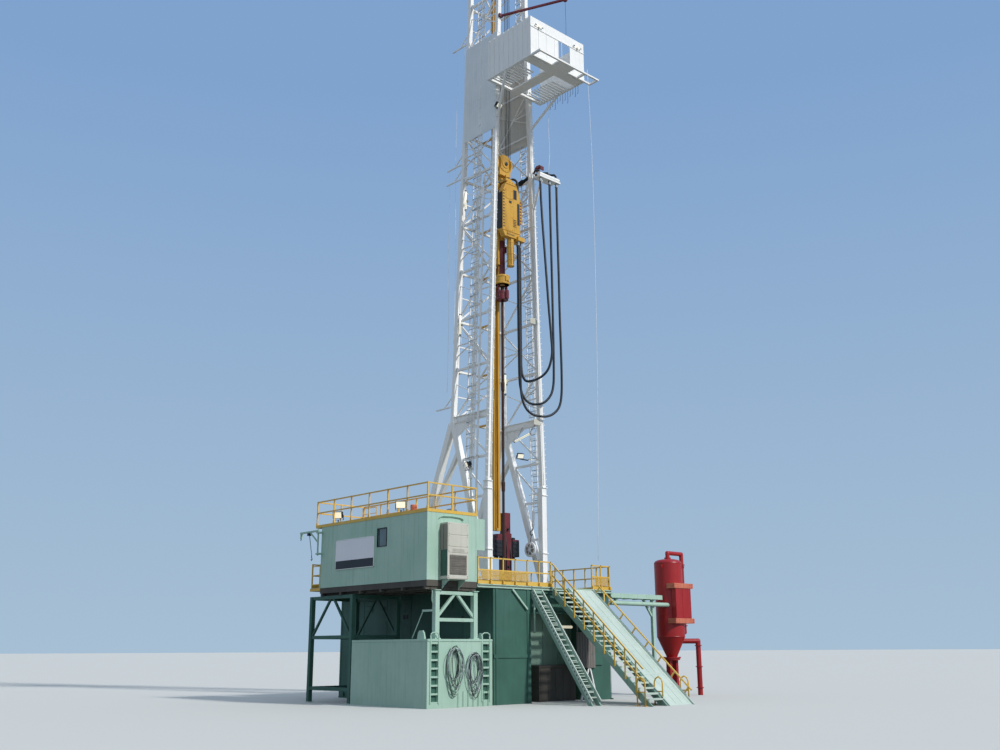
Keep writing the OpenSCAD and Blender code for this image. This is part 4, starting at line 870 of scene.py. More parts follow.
class RIG_OT_ramp(bpy.types.Operator):
    """Ramp and stairs: wear strips, under frame, foot plates, grated treads, side strips and hoops"""

    bl_idname = "rig.ramp"
    bl_label = "Ramp and stairs"

    def execute(self, context):
        down = Vector((cos(SLOPE), 0, -sin(SLOPE)))
        out = Vector((sin(SLOPE), 0, cos(SLOPE)))
        top = Vector((2465, 0, RAMP_DROP))

        def at(l, y, h):
            return top + down * l + out * h + Vector((0, y, 0))

        strips = Parts()
        for y in (-300, -100, 100, 300):
            strips.beam(at(40, y, 2), at(3440, y, 2), 26, 5, tuple(out))
        for l in (870, 1745, 2615):
            strips.beam(at(l, -368, 2), at(l, 368, 2), 40, 4, tuple(out))
        strips.make("ramp_wear_strips", "ramp", bevel=1)
        frame_bars = Parts()
        for l in range(150, 3300, 290):
            frame_bars.beam(at(l, -370, -95), at(l, 370, -95), 50, 60, tuple(out))
        for y in (-340, 0, 340):
            frame_bars.section(at(60, y, -110), at(3300, y, -110), 60, 90, 8, tuple(out))
        frame_bars.make("ramp_under_frame", "green", bevel=1)
        ends = Parts()
        for s in (-1, 1):
            ends.plate([(-40, 0), (45, 0), (85, 60), (20, 150), (-40, 150)], 12 * s,
                       at(3300, s * 395, -120), tuple(down), tuple(out))
            for l in (3275, 3310, 3345):
                ends.bolt(at(l, s * (395 + (13 if s > 0 else 12)), -90), (0, s, 0), 8, 7)
        ends.make("ramp_foot_plates", "ramp", bevel=1)
        treads, nuts = Parts(), Parts()
        for i in range(1, 23):
            x = 2465 + i * 100 / tan(SLOPE) - 60
            z = RAMP_DROP - i * 100
            for k in range(9):
                treads.box((x + 6 + k * 13, -858, z + 1), (x + 9 + k * 13, -452, z + 17))
            treads.box((x + 108, -860, z - 16), (x + 124, -450, z + 16))
            for y, s in ((-868, -1), (-442, 1)):
                nuts.bolt((x + 60, y + s, z - 10), (0, s, 0), 7, 6)
        treads.make("stair_tread_grating", "ramp")
        nuts.make("stair_tread_bolts", "zinc")
        small = Parts()
        steep = radians(54)
        for i in range(1, 20):
            z = 2240 - i * 110
            x = 2460 + i * 110 / tan(steep)
            for k in range(6):
                small.box((x - 54 + k * 16, -1462, z + 1), (x - 50 + k * 16, -1262, z + 14))
        small.make("service_stair_grating", "ramp")
        guard, holes = Parts(), Parts()
        d = Vector((cos(steep), 0, -sin(steep)))
        n = Vector((sin(steep), 0, cos(steep)))
        for y0, y1 in ((-1495, -1491), (-1229, -1225)):
            y = (y0 + y1) / 2
            a = Vector((2475, y, 2255))
            guard.beam(a, a + d * 2700, 4, 86, tuple(n))
            lip = a + n * 44 + Vector((0, 8 if y < -1300 else -8, 0))
            guard.beam(lip, lip + d * 2700, 24, 4, tuple(n))
        # The side strips' slots are dark bars, painted shade where the openings would be
        for k in range(30):
            p = Vector((2475, -1498, 2255)) + d * (60 + 88 * k)
            holes.beam(p - d * 16, p + d * 16, 3, 26, tuple(n))
        guard.make("service_stair_side_strips", "ramp")
        holes.make("service_stair_side_slots", "deep")
        hoops = Parts()
        for y in (-905, -375, 445):
            hoops.tube([(4730, y, 12), (4730, y, 430), (4760, y, 500), (4830, y, 535), (4900, y, 500),
                        (4930, y, 430), (4930, y, 12)], 15, 12)
            hoops.tube([(4730, y, 260), (4930, y, 260)], 12, 10)
            for x in (4730, 4930):
                hoops.box((x - 40, y - 40, 0), (x + 40, y + 40, 12))
        hoops.make("ramp_foot_hoops", "yellow")
        legs = Parts()
        legs.tube([(2520, 700, 2330), (2520, 700, 1750)], 18, 12)
        legs.make("landing_drop_post", "yellow")
        return {"FINISHED"}


class RIG_OT_doghouse(bpy.types.Operator):
    """Doghouse: seams, window frames, the sign's stripe and rim, door frames and handles, canopy, joists"""

    bl_idname = "rig.doghouse"
    bl_label = "Doghouse"

    def execute(self, context):
        (x0, y0, z0), (x1, y1, z1) = DOG
        seams = Parts()
        for i in range(1, 9):
            x = x0 + i * (x1 - x0) / 9
            seams.box((x - 3, y0 - 3, z0 + 20), (x + 3, y0 + 1, z1 - 60))
            if not -800 < x < -200 and not 900 < x < 1900:
                seams.box((x - 3, y1 - 1, z0 + 60), (x + 3, y1 + 3, z1 - 60))
        for y in (-3900, -3250):
            seams.box((x1 - 1, y - 3, z0 + 20), (x1 + 3, y + 3, z1 - 60))
        seams.box((x0, y0 - 5, z0 - 6), (x1, y0 + 1, z0 + 16))
        seams.box((x0, y1 - 1, z0 - 6), (x1, y1 + 5, z0 + 16))
        for x in (x0 + 8, x1 - 8):
            for y in (y0 + 8, y1 - 8):
                seams.box((x - 13, y - 13, z0 - 4), (x + 13, y + 13, z1 - 52))
        seams.make("doghouse_seams_and_posts", "green", bevel=2)
        frames = Parts()
        for wx0, wx1, y, s in ((845, 1140, y0, -1), (960, 1697, y1, 1)):
            for a, b in (((wx0 - 16, 3104), (wx1 + 16, 3120)), ((wx0 - 16, 3470), (wx1 + 16, 3486)),
                         ((wx0 - 16, 3104), (wx0, 3486)), ((wx1, 3104), (wx1 + 16, 3486))):
                frames.box((a[0], min(y - s * 14, y + s * 12), a[1]),
                           (b[0], max(y - s * 14, y + s * 12), b[1]))
            if s > 0:
                for k in range(1, 5):
                    x = wx0 + k * (wx1 - wx0) / 5
                    frames.beam((x, y - 8, 3115), (x, y - 8, 3475), 7, 7, X)
        frames.make("doghouse_window_frames", "black", bevel=2)
        board = Parts()
        board.box((-632, y0 - 16.5, 2732), (731, y0 - 14.2, 2732 + 172))
        board.make("notice_board_stripe", "stripe")
        rim = Parts()
        for a, b in (((-642, 2722), (741, 2732)), ((-642, 3336), (741, 3346)), ((-642, 2722), (-632, 3346)),
                     ((731, 2722), (741, 3346))):
            rim.box((a[0], y0 - 20, a[1]), (b[0], y0 - 1, b[1]))
        rim.make("notice_board_rim", "white", bevel=1)
        doors = Parts()
        for a, b, foot in ((-742, -725, z0), (-275, -258, z0), (-742, -258, z0 + 1050)):
            doors.box((a, y1 - 10, foot), (b, y1 + 14, z0 + 1068))
        for a, b, foot in ((-3832, -3815, z0), (-3365, -3348, z0), (-3832, -3348, z0 + 1050)):
            doors.box((x0 - 14, a, foot), (x0 + 10, b, z0 + 1068))
        doors.make("doghouse_door_frames", "white", bevel=2)
        iron = Parts()
        for z in (z0 + 160, z0 + 525, z0 + 890):
            iron.lathe(rod(11, -40, 40), (-722, y1 + 2, z), Z, 12)
            iron.lathe(rod(11, -40, 40), (x0 - 2, -3818, z), Z, 12)
        iron.tube([(-320, y1 - 4, z0 + 470), (-320, y1 + 30, z0 + 480), (-320, y1 + 30, z0 + 590),
                   (-320, y1 - 4, z0 + 600)], 7, 8)
        iron.tube([(x0 + 6, -3410, z0 + 470), (x0 - 28, -3410, z0 + 480), (x0 - 28, -3410, z0 + 590),
                   (x0 + 6, -3410, z0 + 600)], 7, 8)
        iron.box((x1 + 2, -3300, 3180), (x1 + 22, -3270, 3300))
        iron.tube([(x1 + 14, -3285, 3060), (x1 + 26, -3285, 3140), (x1 + 20, -3285, 3190)], 6, 8)
        iron.make("doghouse_hinges_and_handles", "black", bevel=1)
        lip = Parts()
        arch = [(-4030, 3566), (-4012, 3594), (-3950, 3616), (-3720, 3628),
                (-3490, 3616), (-3428, 3594), (-3410, 3566)]
        for (ya, za), (yb, zb) in zip(arch, arch[1:]):
            lip.beam((x1 + 20, ya, za), (x1 + 20, yb, zb), 40, 9, Z if abs(yb - ya) > 40 else Y)
        lip.make("cooling_unit_canopy", "green", bevel=2)
        under = Parts()
        for y in range(-4200, -3159, 260):
            under.section((x0 + 20, y, 2225), (x1 - 30, y, 2225), 44, 50, 8)
        under.make("doghouse_floor_joists", "under")
        return {"FINISHED"}


class RIG_OT_cooling_unit(bpy.types.Operator):
    """Cooling unit: pressed panels, louvres behind a guard, screws, side panels, drain and brackets"""

    bl_idname = "rig.cooling_unit"
    bl_label = "Cooling unit"

    def execute(self, context):
        x, ya, yb, za, zb = 2690, -3985, -3450, 2390, 3480
        panels = Parts()
        for a, b in ((za + 510, za + 610), (za + 625, za + 840), (za + 855, zb - 12)):
            panels.box((x - 1, ya + 18, a), (x + 6, yb - 18, b))
        panels.box((x - 1, ya + 18, za + 12), (x + 6, yb - 18, za + 78))
        panels.make("cooling_unit_panels", "beige", bevel=4)
        fins = Parts()
        for i in range(18):
            z = za + 96 + i * 20.5
            fins.plate([(0, 0), (22, -14), (22, -11), (0, 3)], 431, (x - 14, ya + 483, z + 14), X, Z)
        for i in range(4):
            z = za + 526 + i * 15
            fins.plate([(0, 0), (14, -8), (14, -5), (0, 3)], 310, (x - 6, ya + 423, z + 10), X, Z)
        for y in range(ya + 60, ya + 481, 30):
            fins.beam((x + 7, y, za + 88), (x + 7, y, za + 472), 3, 3, X)
        for z in range(za + 100, za + 461, 36):
            fins.beam((x + 9, ya + 52, z), (x + 9, yb - 52, z), 3, 3)
        fins.make("cooling_unit_louvres", "louvre")
        screws = Parts()
        for z in (za + 30, za + 60, za + 530, za + 640, za + 825, za + 870, zb - 30):
            for y in (ya + 30, yb - 30):
                screws.bolt((x + 6, y, z), X, 6, 5)
        screws.make("cooling_unit_screws", "zinc")
        # The panel on the unit's -Y side takes the darkened green, painted shade of that side
        side = Parts()
        side.box((2476, ya - 3, za + 60), (2676, ya + 1, zb - 60))
        for i in range(9):
            side.box((2486, ya - 8, za + 100 + i * 30), (2666, ya - 2, za + 116 + i * 30))
        side.make("cooling_unit_side_panel", "deep", bevel=1)
        strip = Parts()
        strip.box((2466, ya - 9, za + 560), (2560, ya - 3, zb - 30))
        strip.box((2574, ya - 9, za + 560), (2668, ya - 3, zb - 30))
        strip.make("cooling_unit_side_strips", "louvre", bevel=1)
        drain = Parts()
        drain.tube([(x - 60, ya + 60, za), (x - 60, ya + 60, za - 60), (x - 90, ya + 60, za - 110),
                    (x - 160, ya + 60, za - 130)], 12, 10)
        drain.make("cooling_unit_drain", "black")
        brackets = Parts()
        for y in (ya + 60, yb - 60):
            brackets.plate([(0, 0), (210, 0), (210, -24), (0, -180)], 14, (2462, y, za), X, Z)
        brackets.make("cooling_unit_brackets", "green", bevel=1)
        return {"FINISHED"}


def floodlight(body, face, metalwork, place, aim, scale=1.0):
    """A floodlight: finned body, bezel, glass, and a yoke on its post."""
    p, d = Vector(place), Vector(aim).normalized()
    side = d.cross(Vector(Z)).normalized()
    rise = side.cross(d)
    w, h, t = 85 * scale, 60 * scale, 55 * scale
    body.profile(p - d * t, p + d * t * 0.2, rectangle(w * 0.7, h * 0.7))
    body.profile(p + d * t * 0.2, p + d * t, rectangle(w, h))
    for i in range(5):
        at = p - d * (t * (0.2 + i * 0.18))
        body.profile(at, at - d * 4, rectangle(w * 0.8, h * 0.8))
    face.profile(p + d * (t - 2), p + d * (t + 5), rectangle(w * 0.88, h * 0.85))
    drop = rise * h * 1.5
    for s in (-1, 1):
        arm = p + side * w * s * 1.08
        metalwork.beam(arm, arm - drop, 8, 22, tuple(d))
    metalwork.beam(p - side * w * 1.12 - drop, p + side * w * 1.12 - drop, 8, 22, tuple(d))


class RIG_OT_roof_gear(bpy.types.Operator):
    """Roof floodlights with their stands and flex, a red drum and a vent"""

    bl_idname = "rig.roof_gear"
    bl_label = "Roof gear"

    def execute(self, context):
        body, face = Parts(), Parts()
        z = DOG[1][2]
        for x, y, aim in ((-855, -4155, (0.5, -0.75, -0.2)), (1385, -4145, (0.65, -0.6, -0.2))):
            body.box((x - 70, y - 50, z), (x + 70, y + 50, z + 12))
            body.tube([(x, y, z), (x, y, z + 95)], 12, 12)
            floodlight(body, face, body, (x, y, z + 205), aim, 1.25)
            body.tube([(x + 20, y + 20, z + 6), (x + 60, y + 40, z + 40), (x + 30, y + 30, z + 120),
                       (x, y + 20, z + 170)], 6, 8)
        body.make("roof_floodlights", "black", bevel=2, replaces=("roof_lamps",))
        face.make("roof_floodlight_glass", "lens")
        drum = Parts()
        drum.lathe([(0, 0), (62, 0), (66, 6), (66, 46), (70, 50), (66, 54), (66, 96), (70, 100), (66, 104),
                    (66, 144), (60, 150), (0, 150)], (1830, -4165, z), Z, 40)
        drum.make("roof_drum", "clamp")
        vent = Parts()
        vent.lathe([(0, 0), (70, 0), (70, 40), (110, 44), (110, 56), (95, 78), (40, 90), (0, 90)],
                   (2210, -3495, z), Z, 40)
        vent.make("roof_vent_cowl", "zinc")
        return {"FINISHED"}


class RIG_OT_towers(bpy.types.Operator):
    """Support plates and lugs, tool box trim with its hung lines, davit chain, rear landing's grating"""

    bl_idname = "rig.towers"
    bl_label = "Towers and tool box"

    def execute(self, context):
        plates, nuts = Parts(), Parts()
        for y in (-4085, -3105):
            plates.box((2338, y - 22, 1265), (2482, y + 122, 1281))
            plates.box((2338, y - 22, 2179), (2482, y + 122, 2194))
            for dx in (-10, 110):
                for dy in (-10, 110):
                    nuts.bolt((2360 + dx, y + dy, 1281), Z, 8, 9)
        for x in (-1615, -95):
            for y in (-4305, -3135):
                plates.box((x - 25, y - 8, 0), (x + 115, y + 98, 14))
        plates.plate([(-60, 0), (60, 0), (44, 96), (24, 120), (-24, 120), (-44, 96)], 16,
                     (2300, -2790, 1265), X, Z)
        plates.make("tower_plates_and_lugs", "green", bevel=2)
        nuts.make("tower_bolts", "green")
        arm = Parts()
        arm.beam((2375, -4096, 1800), (2120, -4130, 1800), 26, 40)
        arm.beam((2130, -4130, 1790), (1830, -4150, 1285), 13, 13)
        arm.plate([(-120, 0), (120, 0), (90, 110), (50, 160), (-50, 160), (-90, 110)], 30,
                  (2250, -4240, 1265), X, Z)
        arm.tube([(2400, -4092, 2260), (2400, -4120, 2250), (2400, -4130, 2000), (2400, -4100, 1900)], 7, 8)
        arm.make("tower_bracket_arm", "green")
        box = Parts()
        x1, y0, y1 = 2510, -4315, -2660
        for x in (640, 1250, 1860):
            box.box((x - 3, y0 - 3, 40), (x + 3, y0 + 1, 1240))
        box.box((45, y0 - 8, 1220), (x1 - 4, y0 + 1, 1262))
        for y in (y0 + 280, -2960):
            box.box((x1 - 1, y, 60), (x1 + 8, y + 14, 1230))
        box.box((x1 - 1, y0 + 4, 1222), (x1 + 12, y1 - 4, 1262))
        box.make("tool_box_seams_and_edge", "green", bevel=2)
        rungs, dark = Parts(), Parts()
        for ya in (-4225, -2920):
            dark.box((x1 - 58, ya + 2, 121), (x1 - 54, ya + 168, 1169))
            for y in (ya - 26, ya + 172):
                rungs.box((x1 - 1, y, 90), (x1 + 16, y + 24, 1330))
            hoop = ((ya - 14, 1325), (ya - 8, 1360), (ya + 40, 1385),
                    (ya + 130, 1385), (ya + 178, 1360), (ya + 184, 1325))
            rungs.tube([(x1 + 8, y, z) for y, z in hoop], 11, 10)
        dark.make("tool_box_recess_shade", "deep")
        rungs.make("tool_box_ladder_rails", "green", bevel=1)
        coils = {"hose": Parts(), "under": Parts(), "green": Parts(), "zinc": Parts()}
        rng = random.Random(7)
        picks = ("hose", "green", "zinc", "zinc", "under")
        for y, count, wide, crest, sag in ((-3660, 11, 230, 1120, 330), (-3150, 9, 210, 1000, 300)):
            for k in range(count):
                w = wide * rng.uniform(0.45, 1.0)
                top = crest + rng.uniform(-70, 40)
                foot = sag + rng.uniform(-160, 200)
                shift = rng.uniform(-60, 60)
                out = x1 + 20 + k * 7
                ring = [(out + 14 * sin(2 * a), y + shift + w * cos(a),
                         (top + foot) / 2 + (top - foot) / 2 * sin(a)) for a in arc(32)]
                coils[rng.choice(picks)].tube(ring, 6.5, 8)
        for look, part in coils.items():
            if part.points:
                part.make("tool_box_hung_lines_" + look, look)
        iron = Parts()
        for y, z in ((-3660, 1130), (-3150, 1010)):
            iron.tube([(x1, y, z), (x1 + 88, y, z), (x1 + 96, y, z + 30)], 10, 10)
        for i in range(7):
            iron.beam((x1 + 26, -3560 + i * 130, 8), (x1 + 26, -3560 + i * 130, 300), 10, 10, X)
        iron.make("tool_box_hooks_and_pins", "green")
        tackle = Parts()
        for k in range(18):
            z = 3550 - k * 26
            a = (k % 2) * pi / 2
            tackle.tube([(-1640 + k * 7 + 9 * cos(t) * cos(a), -4375 + 9 * cos(t) * sin(a), z + 17 * sin(t))
                         for t in arc(12)], 3.2, 6)
        tackle.box((-1690, -4405, 3530), (-1610, -4345, 3592))
        tackle.tube([(-1520, -4375, 3090), (-1515, -4375, 3040), (-1490, -4375, 3010), (-1510, -4375, 2980),
                     (-1540, -4375, 3005)], 9, 8)
        tackle.tube([(-1985, -4375, 3590), (-1985, -4375, 3500), (-1975, -4375, 3470),
                     (-1990, -4375, 3450)], 9, 8)
        tackle.make("davit_chain_and_hook", "black", "davit", bevel=1)
        grid = Parts()
        for y in range(-4290, -3089, 40):
            grid.box((-1610, y, 2375.5), (-1240, y + 4, 2388))
        for i in range(5):
            grid.box((-1590 + i * 82, -4290, 2375.5), (-1586 + i * 82, -3060, 2386))
        grid.make("rear_landing_grating", "zinc")
        return {"FINISHED"}


class RIG_OT_mast(bpy.types.Operator):
    """Mast: gussets, sub-bracing, feet, standpipes, step pegs, cables, lamps and hanging ropes"""

    bl_idname = "rig.mast"
    bl_label = "Mast dressing"

    def execute(self, context):
        plates, fine, nuts = Parts(), Parts(), Parts()
        for i, z in enumerate(GIRTS[:-1]):
            braced = i < len(GIRTS) - 2
            quarter, half, upper = (z + PANEL * k // 4 for k in (1, 2, 3))
            for s in (-1, 1):
                y = s * (half_at(z) + 29)
                for x, d in ((MAST_FRONT, -1), (rear_at(z), 1)):
                    plates.plate([(0, -110), (150 * d, -45), (190 * d, 0), (150 * d, 45), (0, 110)], 8 * d,
                                 (x, y, z), X, Z)
                    for dz in (-30, 0, 30):
                        nuts.bolt((x + d * 60, y + s * 8, z + dz), (0, s, 0), 9, 8)
                if braced:
                    middle = ((MAST_FRONT + rear_at(half)) / 2, s * half_at(half), half)
                    near, far = (MAST_FRONT, rear_at(upper)) if i % 2 == 0 else (rear_at(z), MAST_FRONT)
                    fine.beam((near, s * half_at(quarter), quarter + 20), middle, 24)
                    fine.beam((near, s * half_at(upper), upper - 20), middle, 24)
                    fine.beam((far, s * half_at(upper), upper), middle, 22)
            for s in (-1, 1):
                plates.plate([(0, -100), (s * 170, -40), (s * 190, 0), (s * 170, 40), (0, 100)], 8,
                             (rear_at(z) - 58, -s * (half_at(z) - 30), z), Y, Z)
            if braced:
                fine.beam((rear_at(half), -half_at(half), half), (rear_at(half), 0, half), 26)
        for z in GIRTS[::2]:
            for s in (-1, 1):
                y = s * half_at(z)
                plates.box((MAST_FRONT - 62, y - 62, z - 12), (MAST_FRONT + 62, y + 62, z + 12))
        plates.make("mast_gussets", "white", bevel=1)
        fine.make("mast_sub_bracing", "white")
        nuts.make("mast_gusset_bolts", "zinc")
        feet = Parts()
        for s in (-1, 1):
            y = s * MAST_HALF
            for y1 in (y - 100, y + 88):
                feet.plate([(-130, 0), (130, 0), (110, 150), (50, 210), (-50, 210), (-110, 150)], -12,
                           (MAST_FRONT, y1, 2390), X, Z)
            feet.lathe(rod(34, -130, 130), (MAST_FRONT, y, 2520), Y, 20)
            for z in (4885, 4700, 3300):
                feet.box((MAST_FRONT - 84, y - 84, z - 10), (MAST_FRONT + 84, y + 84, z + 10))
            feet.lathe(rod(30, -110, 110), (-2600, y * 0.945, 2470), Y, 20)
        feet.make("mast_feet_and_pins", "white", bevel=1.5)
        pipes = Parts()
        for x, radius, top, lift in ((105, 27, 12800, 62), (-110, 15, 12200, 52)):
            pipes.tube([(x, -half_at(z) - lift, z) for z in range(2420, top, 460)], radius, 14)
            y = -half_at(top)
            pipes.tube([(x, y - lift, top - 200), (x, y - lift, top), (x, y - lift + 40, top + 60),
                        (x, y + 20, top + 70)], radius, 14)
            for z in range(2900, top, 1300):
                pipes.tube([(x, -half_at(z) - lift, z), (x, -half_at(z) - lift, z + 70)], radius + 9, 14)
                pipes.box((x - 14, -half_at(z) - lift, z + 26), (x + 14, -half_at(z) - 20, z + 44))
        pipes.make("mast_standpipes", "white")
        portal = Parts()
        for s in (-1, 1):
            y = s * (half_at(FIRST_GIRT) - 4)
            portal.section((-870, y, 6530), (450, y, 6530), 80, 170, 12)
        portal.make("mast_portal_beams", "white")
        steps = Parts()
        for s in (-1, 1):
            for z in range(4950, 16201, 150):
                y = s * (half_at(z) + 66)
                steps.tube([(MAST_FRONT + 38, y - s * 12, z), (MAST_FRONT + 38, y + s * 42, z),
                            (MAST_FRONT + 38, y + s * 42, z + 26)], 6, 6)
        steps.make("mast_leg_step_pegs", "white")
        cables = Parts()
        for k in range(3):
            cables.tube([(-60 - k * 52, -half_at(z) - 66 - (k % 2) * 8, z)
                         for z in range(4200, 20941, 620)], 9 - k, 8)
        for k in range(2):
            cables.tube([(MAST_FRONT + 60 + k * 20, -half_at(z) + 20, z)
                         for z in range(4950, 15000, 500)], 7, 8)
        cables.tube([(MAST_FRONT + 62, half_at(z) - 20, z) for z in range(4950, 15000, 500)], 7, 8)
        cables.make("mast_cables", "white")
        clips = Parts()
        for z in range(5000, 15141, 260):
            clips.box((MAST_FRONT + 52, -half_at(z) + 8, z), (MAST_FRONT + 92, -half_at(z) + 40, z + 14))
            clips.box((-190, -half_at(z) - 80, z), (-36, -half_at(z) - 50, z + 12))
        clips.make("mast_cable_clips", "white")
        lens, caps = Parts(), Parts()
        spots = [(-690, -half_at(9000) - 40, 8700), (-700, 740, 7420),
                 (-620, -half_at(12400) - 40, 12100), (-520, half_at(15200) + 60, 13100)]
        for x, y, z in spots:
            tube_lamp(lens, (x, y, z), (x, y, z + 560))
            lamp_caps(caps, (x, y, z), (x, y, z + 560))
            caps.box((x - 40, min(y, copysign(half_at(z) - 40, y)), z + 250),
                     (x + 40, max(y, copysign(half_at(z) - 40, y)), z + 290))
        tube_lamp(lens, (-230, 600, 6100), (370, 600, 6230))
        lamp_caps(caps, (-230, 600, 6100), (370, 600, 6230))
        for x, z in ((-150, 6120), (290, 6215)):
            caps.beam((x, 600, z), (x, half_at(FIRST_GIRT) - 40, 6480), 12, 12, X)
        flood = Parts()
        for place, aim in (((-30, 600, 5725), (0.75, -0.35, -0.45)),
                           ((-160, -980, 5350), (-0.4, -0.8, -0.4)),
                           ((560, -620, 14700), (0.6, 0.0, -0.7))):
            floodlight(flood, lens, flood, place, aim)
            x, y, z = place
            flood.beam((x, y, z - 90), (MAST_FRONT if x > 0 else x, copysign(half_at(z), y), z - 90), 16, 26)
        grey = Parts()
        for z in (6500, 9100):
            y = half_at(z) - 150
            grey.plate([(-130, -70), (120, -70), (120, 20), (40, 90), (-130, 60)], 10,
                       (MAST_FRONT + 50, y, z), Y, Z)
        grey.make("mast_girt_plates", "beige")
        lens.make("mast_lamp_glass", "lens")
        caps.make("mast_lamp_caps", "zinc")
        flood.make("mast_floodlights", "black", bevel=1.5)
        hung = Parts()
        radius = context.scene.rig_sizes.rope * 1000
        front_line = smooth_line([(2570, 600, 15315), (2640, 600, 13040), (2650, 600, 11000),
                                  (2635, 600, 9115), (2585, 600, 6195), (2467, 600, 2985)])
        hung.tube(front_line, radius, 6)
        for x, y, z0, z1, lean in ((1185, 600, 15300, 12900, -35),
                                   (-640, -760, 17100, 7900, -60), (-1140, -600, 17120, 8600, -30),
                                   (-1120, -850, 13500, 7300, 0)):
            pts = [(x + lean * (i / 12) ** 2, y + 18 * sin(i * 0.9), z0 + (z1 - z0) * i / 12)
                   for i in range(13)]
            hung.tube(pts, radius, 6)
        hung.make("hanging_ropes", "white")
        return {"FINISHED"}


class RIG_OT_crown(bpy.types.Operator):
    """Crown: grating, sheave guards and bearing caps"""

    bl_idname = "rig.crown"
    bl_label = "Crown"

    def execute(self, context):
        guard = Parts()
        for s in (-1, 1):
            guard.tube([(x, s * 262, 23860) for x in (-175, 175)], 10, 8)
        for x in (-140, 140):
            guard.tube([(x, 262 * cos(a), SHEAVE_H + 262 * sin(a)) for a in arc(16, pi)], 10, 8)
        guard.make("crown_sheave_guard", "yellow")
        caps = Parts()
        for x, d in ((-200, -1), (200, 1)):
            caps.lathe([(0, 0), (46, 0), (46, 16), (22, 24), (0, 24)], (x, 0, SHEAVE_H), (d, 0, 0), 24)
            for u, v in around(6, 36):
                caps.bolt((x + d * 16, u, SHEAVE_H + v), (d, 0, 0), 5, 5)
        caps.make("crown_bearing_caps", "zinc")
        grid = Parts()
        half = half_at(CROWN) + 150
        for i in range(-14, 15):
            y = i * half / 14
            if abs(y) > 310:
                grid.box((rear_at(CROWN) - 100, y - 2, CROWN + 61), (540, y + 2, CROWN + 74))
        grid.make("crown_grating", "zinc")
        return {"FINISHED"}


class RIG_OT_board(bpy.types.Operator):
    """Racking board: ribs, grating, finger tips, hooks, lamps, under beams, wind walls and boom tip"""

    bl_idname = "rig.board"
    bl_label = "Racking board"

    def execute(self, context):
        ribs = Parts()
        for x in range(620, 2021, 175):
            ribs.box((x - 4, -986, BOARD - 10), (x + 4, -971, BOARD + 1030))
            ribs.box((x - 4, 971, BOARD - 10), (x + 4, 986, BOARD + 1030))
        for y in (-690, -400, -120, 140):
            ribs.box((2125, y - 4, BOARD), (2133, y + 4, BOARD + 750))
        ribs.box((2125, 436, BOARD + 70), (2136, 448, BOARD + 700))
        ribs.box((2125, 8, BOARD + 70), (2136, 20, BOARD + 700))
        ribs.box((2123, -970, BOARD + 752), (2140, 970, BOARD + 770))
        ribs.make("board_wall_ribs", "white", bevel=1)
        grid = Parts()
        for y in range(-960, 1081, 40):
            if y < -925 or -255 < y < 295 or 645 < y < 695:
                grid.box((2135, y, BOARD - 38), (2445, y + 3, BOARD - 24))
        for x in (2150, 2425):
            grid.box((x, -965, BOARD - 36), (x + 3, 1115, BOARD - 26))
        grid.make("board_walkway_grating", "zinc")
        tips = Parts()
        for i in range(10):
            x = 630.3 + 100 * i
            for s in (-1, 1):
                tips.box((x - 3, s * 322 if s > 0 else -340, BOARD - 50),
                         (x + 33, s * 340 if s > 0 else -322, BOARD - 4))
                tips.tube([(x + 15, s * 905, BOARD - 40), (x + 15, s * 940, BOARD - 56)], 8, 8)
        tips.make("board_finger_tips", "white")
        hooks = Parts()
        for i in range(13):
            x = 800 + i * 92
            drop = (150, 260, 210, 330, 180)[i % 5]
            hooks.tube([(x, 952, BOARD - 60), (x + 4, 960, BOARD - 80), (x, 962, BOARD - 60 - drop),
                        (x - 16, 962, BOARD - 84 - drop), (x - 24, 962, BOARD - 62 - drop)], 5, 6)
        hooks.make("board_safety_hooks", "black")
        lens, caps = Parts(), Parts()
        for y in (-700, 700):
            a, b = (2160, y - 130, BOARD + 840), (2160, y + 130, BOARD + 840)
            tube_lamp(lens, a, b, 15)
            lamp_caps(caps, a, b, 15)
            caps.box((2120, y - 8, BOARD + 750), (2170, y + 8, BOARD + 820))
        lens.make("board_lamp_glass", "lens")
        caps.make("board_lamp_caps", "zinc")
        stay = Parts()
        for s in (-1, 1):
            for x in range(700, 2031, 190):
                stay.box((x, s * 24 - 8, BOARD - 62), (x + 34, s * 24 + 8, BOARD - 54))
            stay.beam((590, s * 934, BOARD - 70), (2120, s * 934, BOARD - 70), 26, 26)
        for x in (700, 1400, 2100):
            stay.beam((x, -934, BOARD - 72), (x, -360, BOARD - 72), 22, 22)
            stay.beam((x, 934, BOARD - 72), (x, 360, BOARD - 72), 22, 22)
        stay.make("board_under_beams", "white")
        walls = Parts()
        for z in range(WIND_LOW + 20, WIND_HIGH, 270):
            for s in (-1, 1):
                y = s * (half_at(z) + 62)
                walls.beam((-560, y, z), (380, y, z), 5, 12, (0, s, 0))
        for x in range(-540, 363, 82):
            for s in (-1, 1):
                walls.beam((x, s * (half_at(WIND_LOW) + 66), WIND_LOW),
                           (x, s * (half_at(WIND_HIGH) + 66), WIND_HIGH), 9, 14)
        walls.make("wind_wall_ribs", "cool")
        inner = Parts()
        for x in range(-556, 348, 43):
            low, high = ((x, half_at(z) - 4, z) for z in (WIND_LOW, WIND_HIGH))
            inner.beam(low, high, 30, 8, X)
        inner.make("wind_wall_inner_sheet", "sheet")
        rope = Parts()
        rope.tube([(1952, 500, 17590), (1958, 503, 16900), (1952, 500, 16250)], 4, 6)
        rope.make("boom_line", "rope")
        tip = Parts()
        tip.lathe([(0, -18), (60, -18), (60, -12), (44, -6), (44, 6), (60, 12), (60, 18), (0, 18)],
                  (1955, 502, 17610), (0.57, -0.8, 0), 24)
        tip.make("boom_sheave", "maroon")
        return {"FINISHED"}


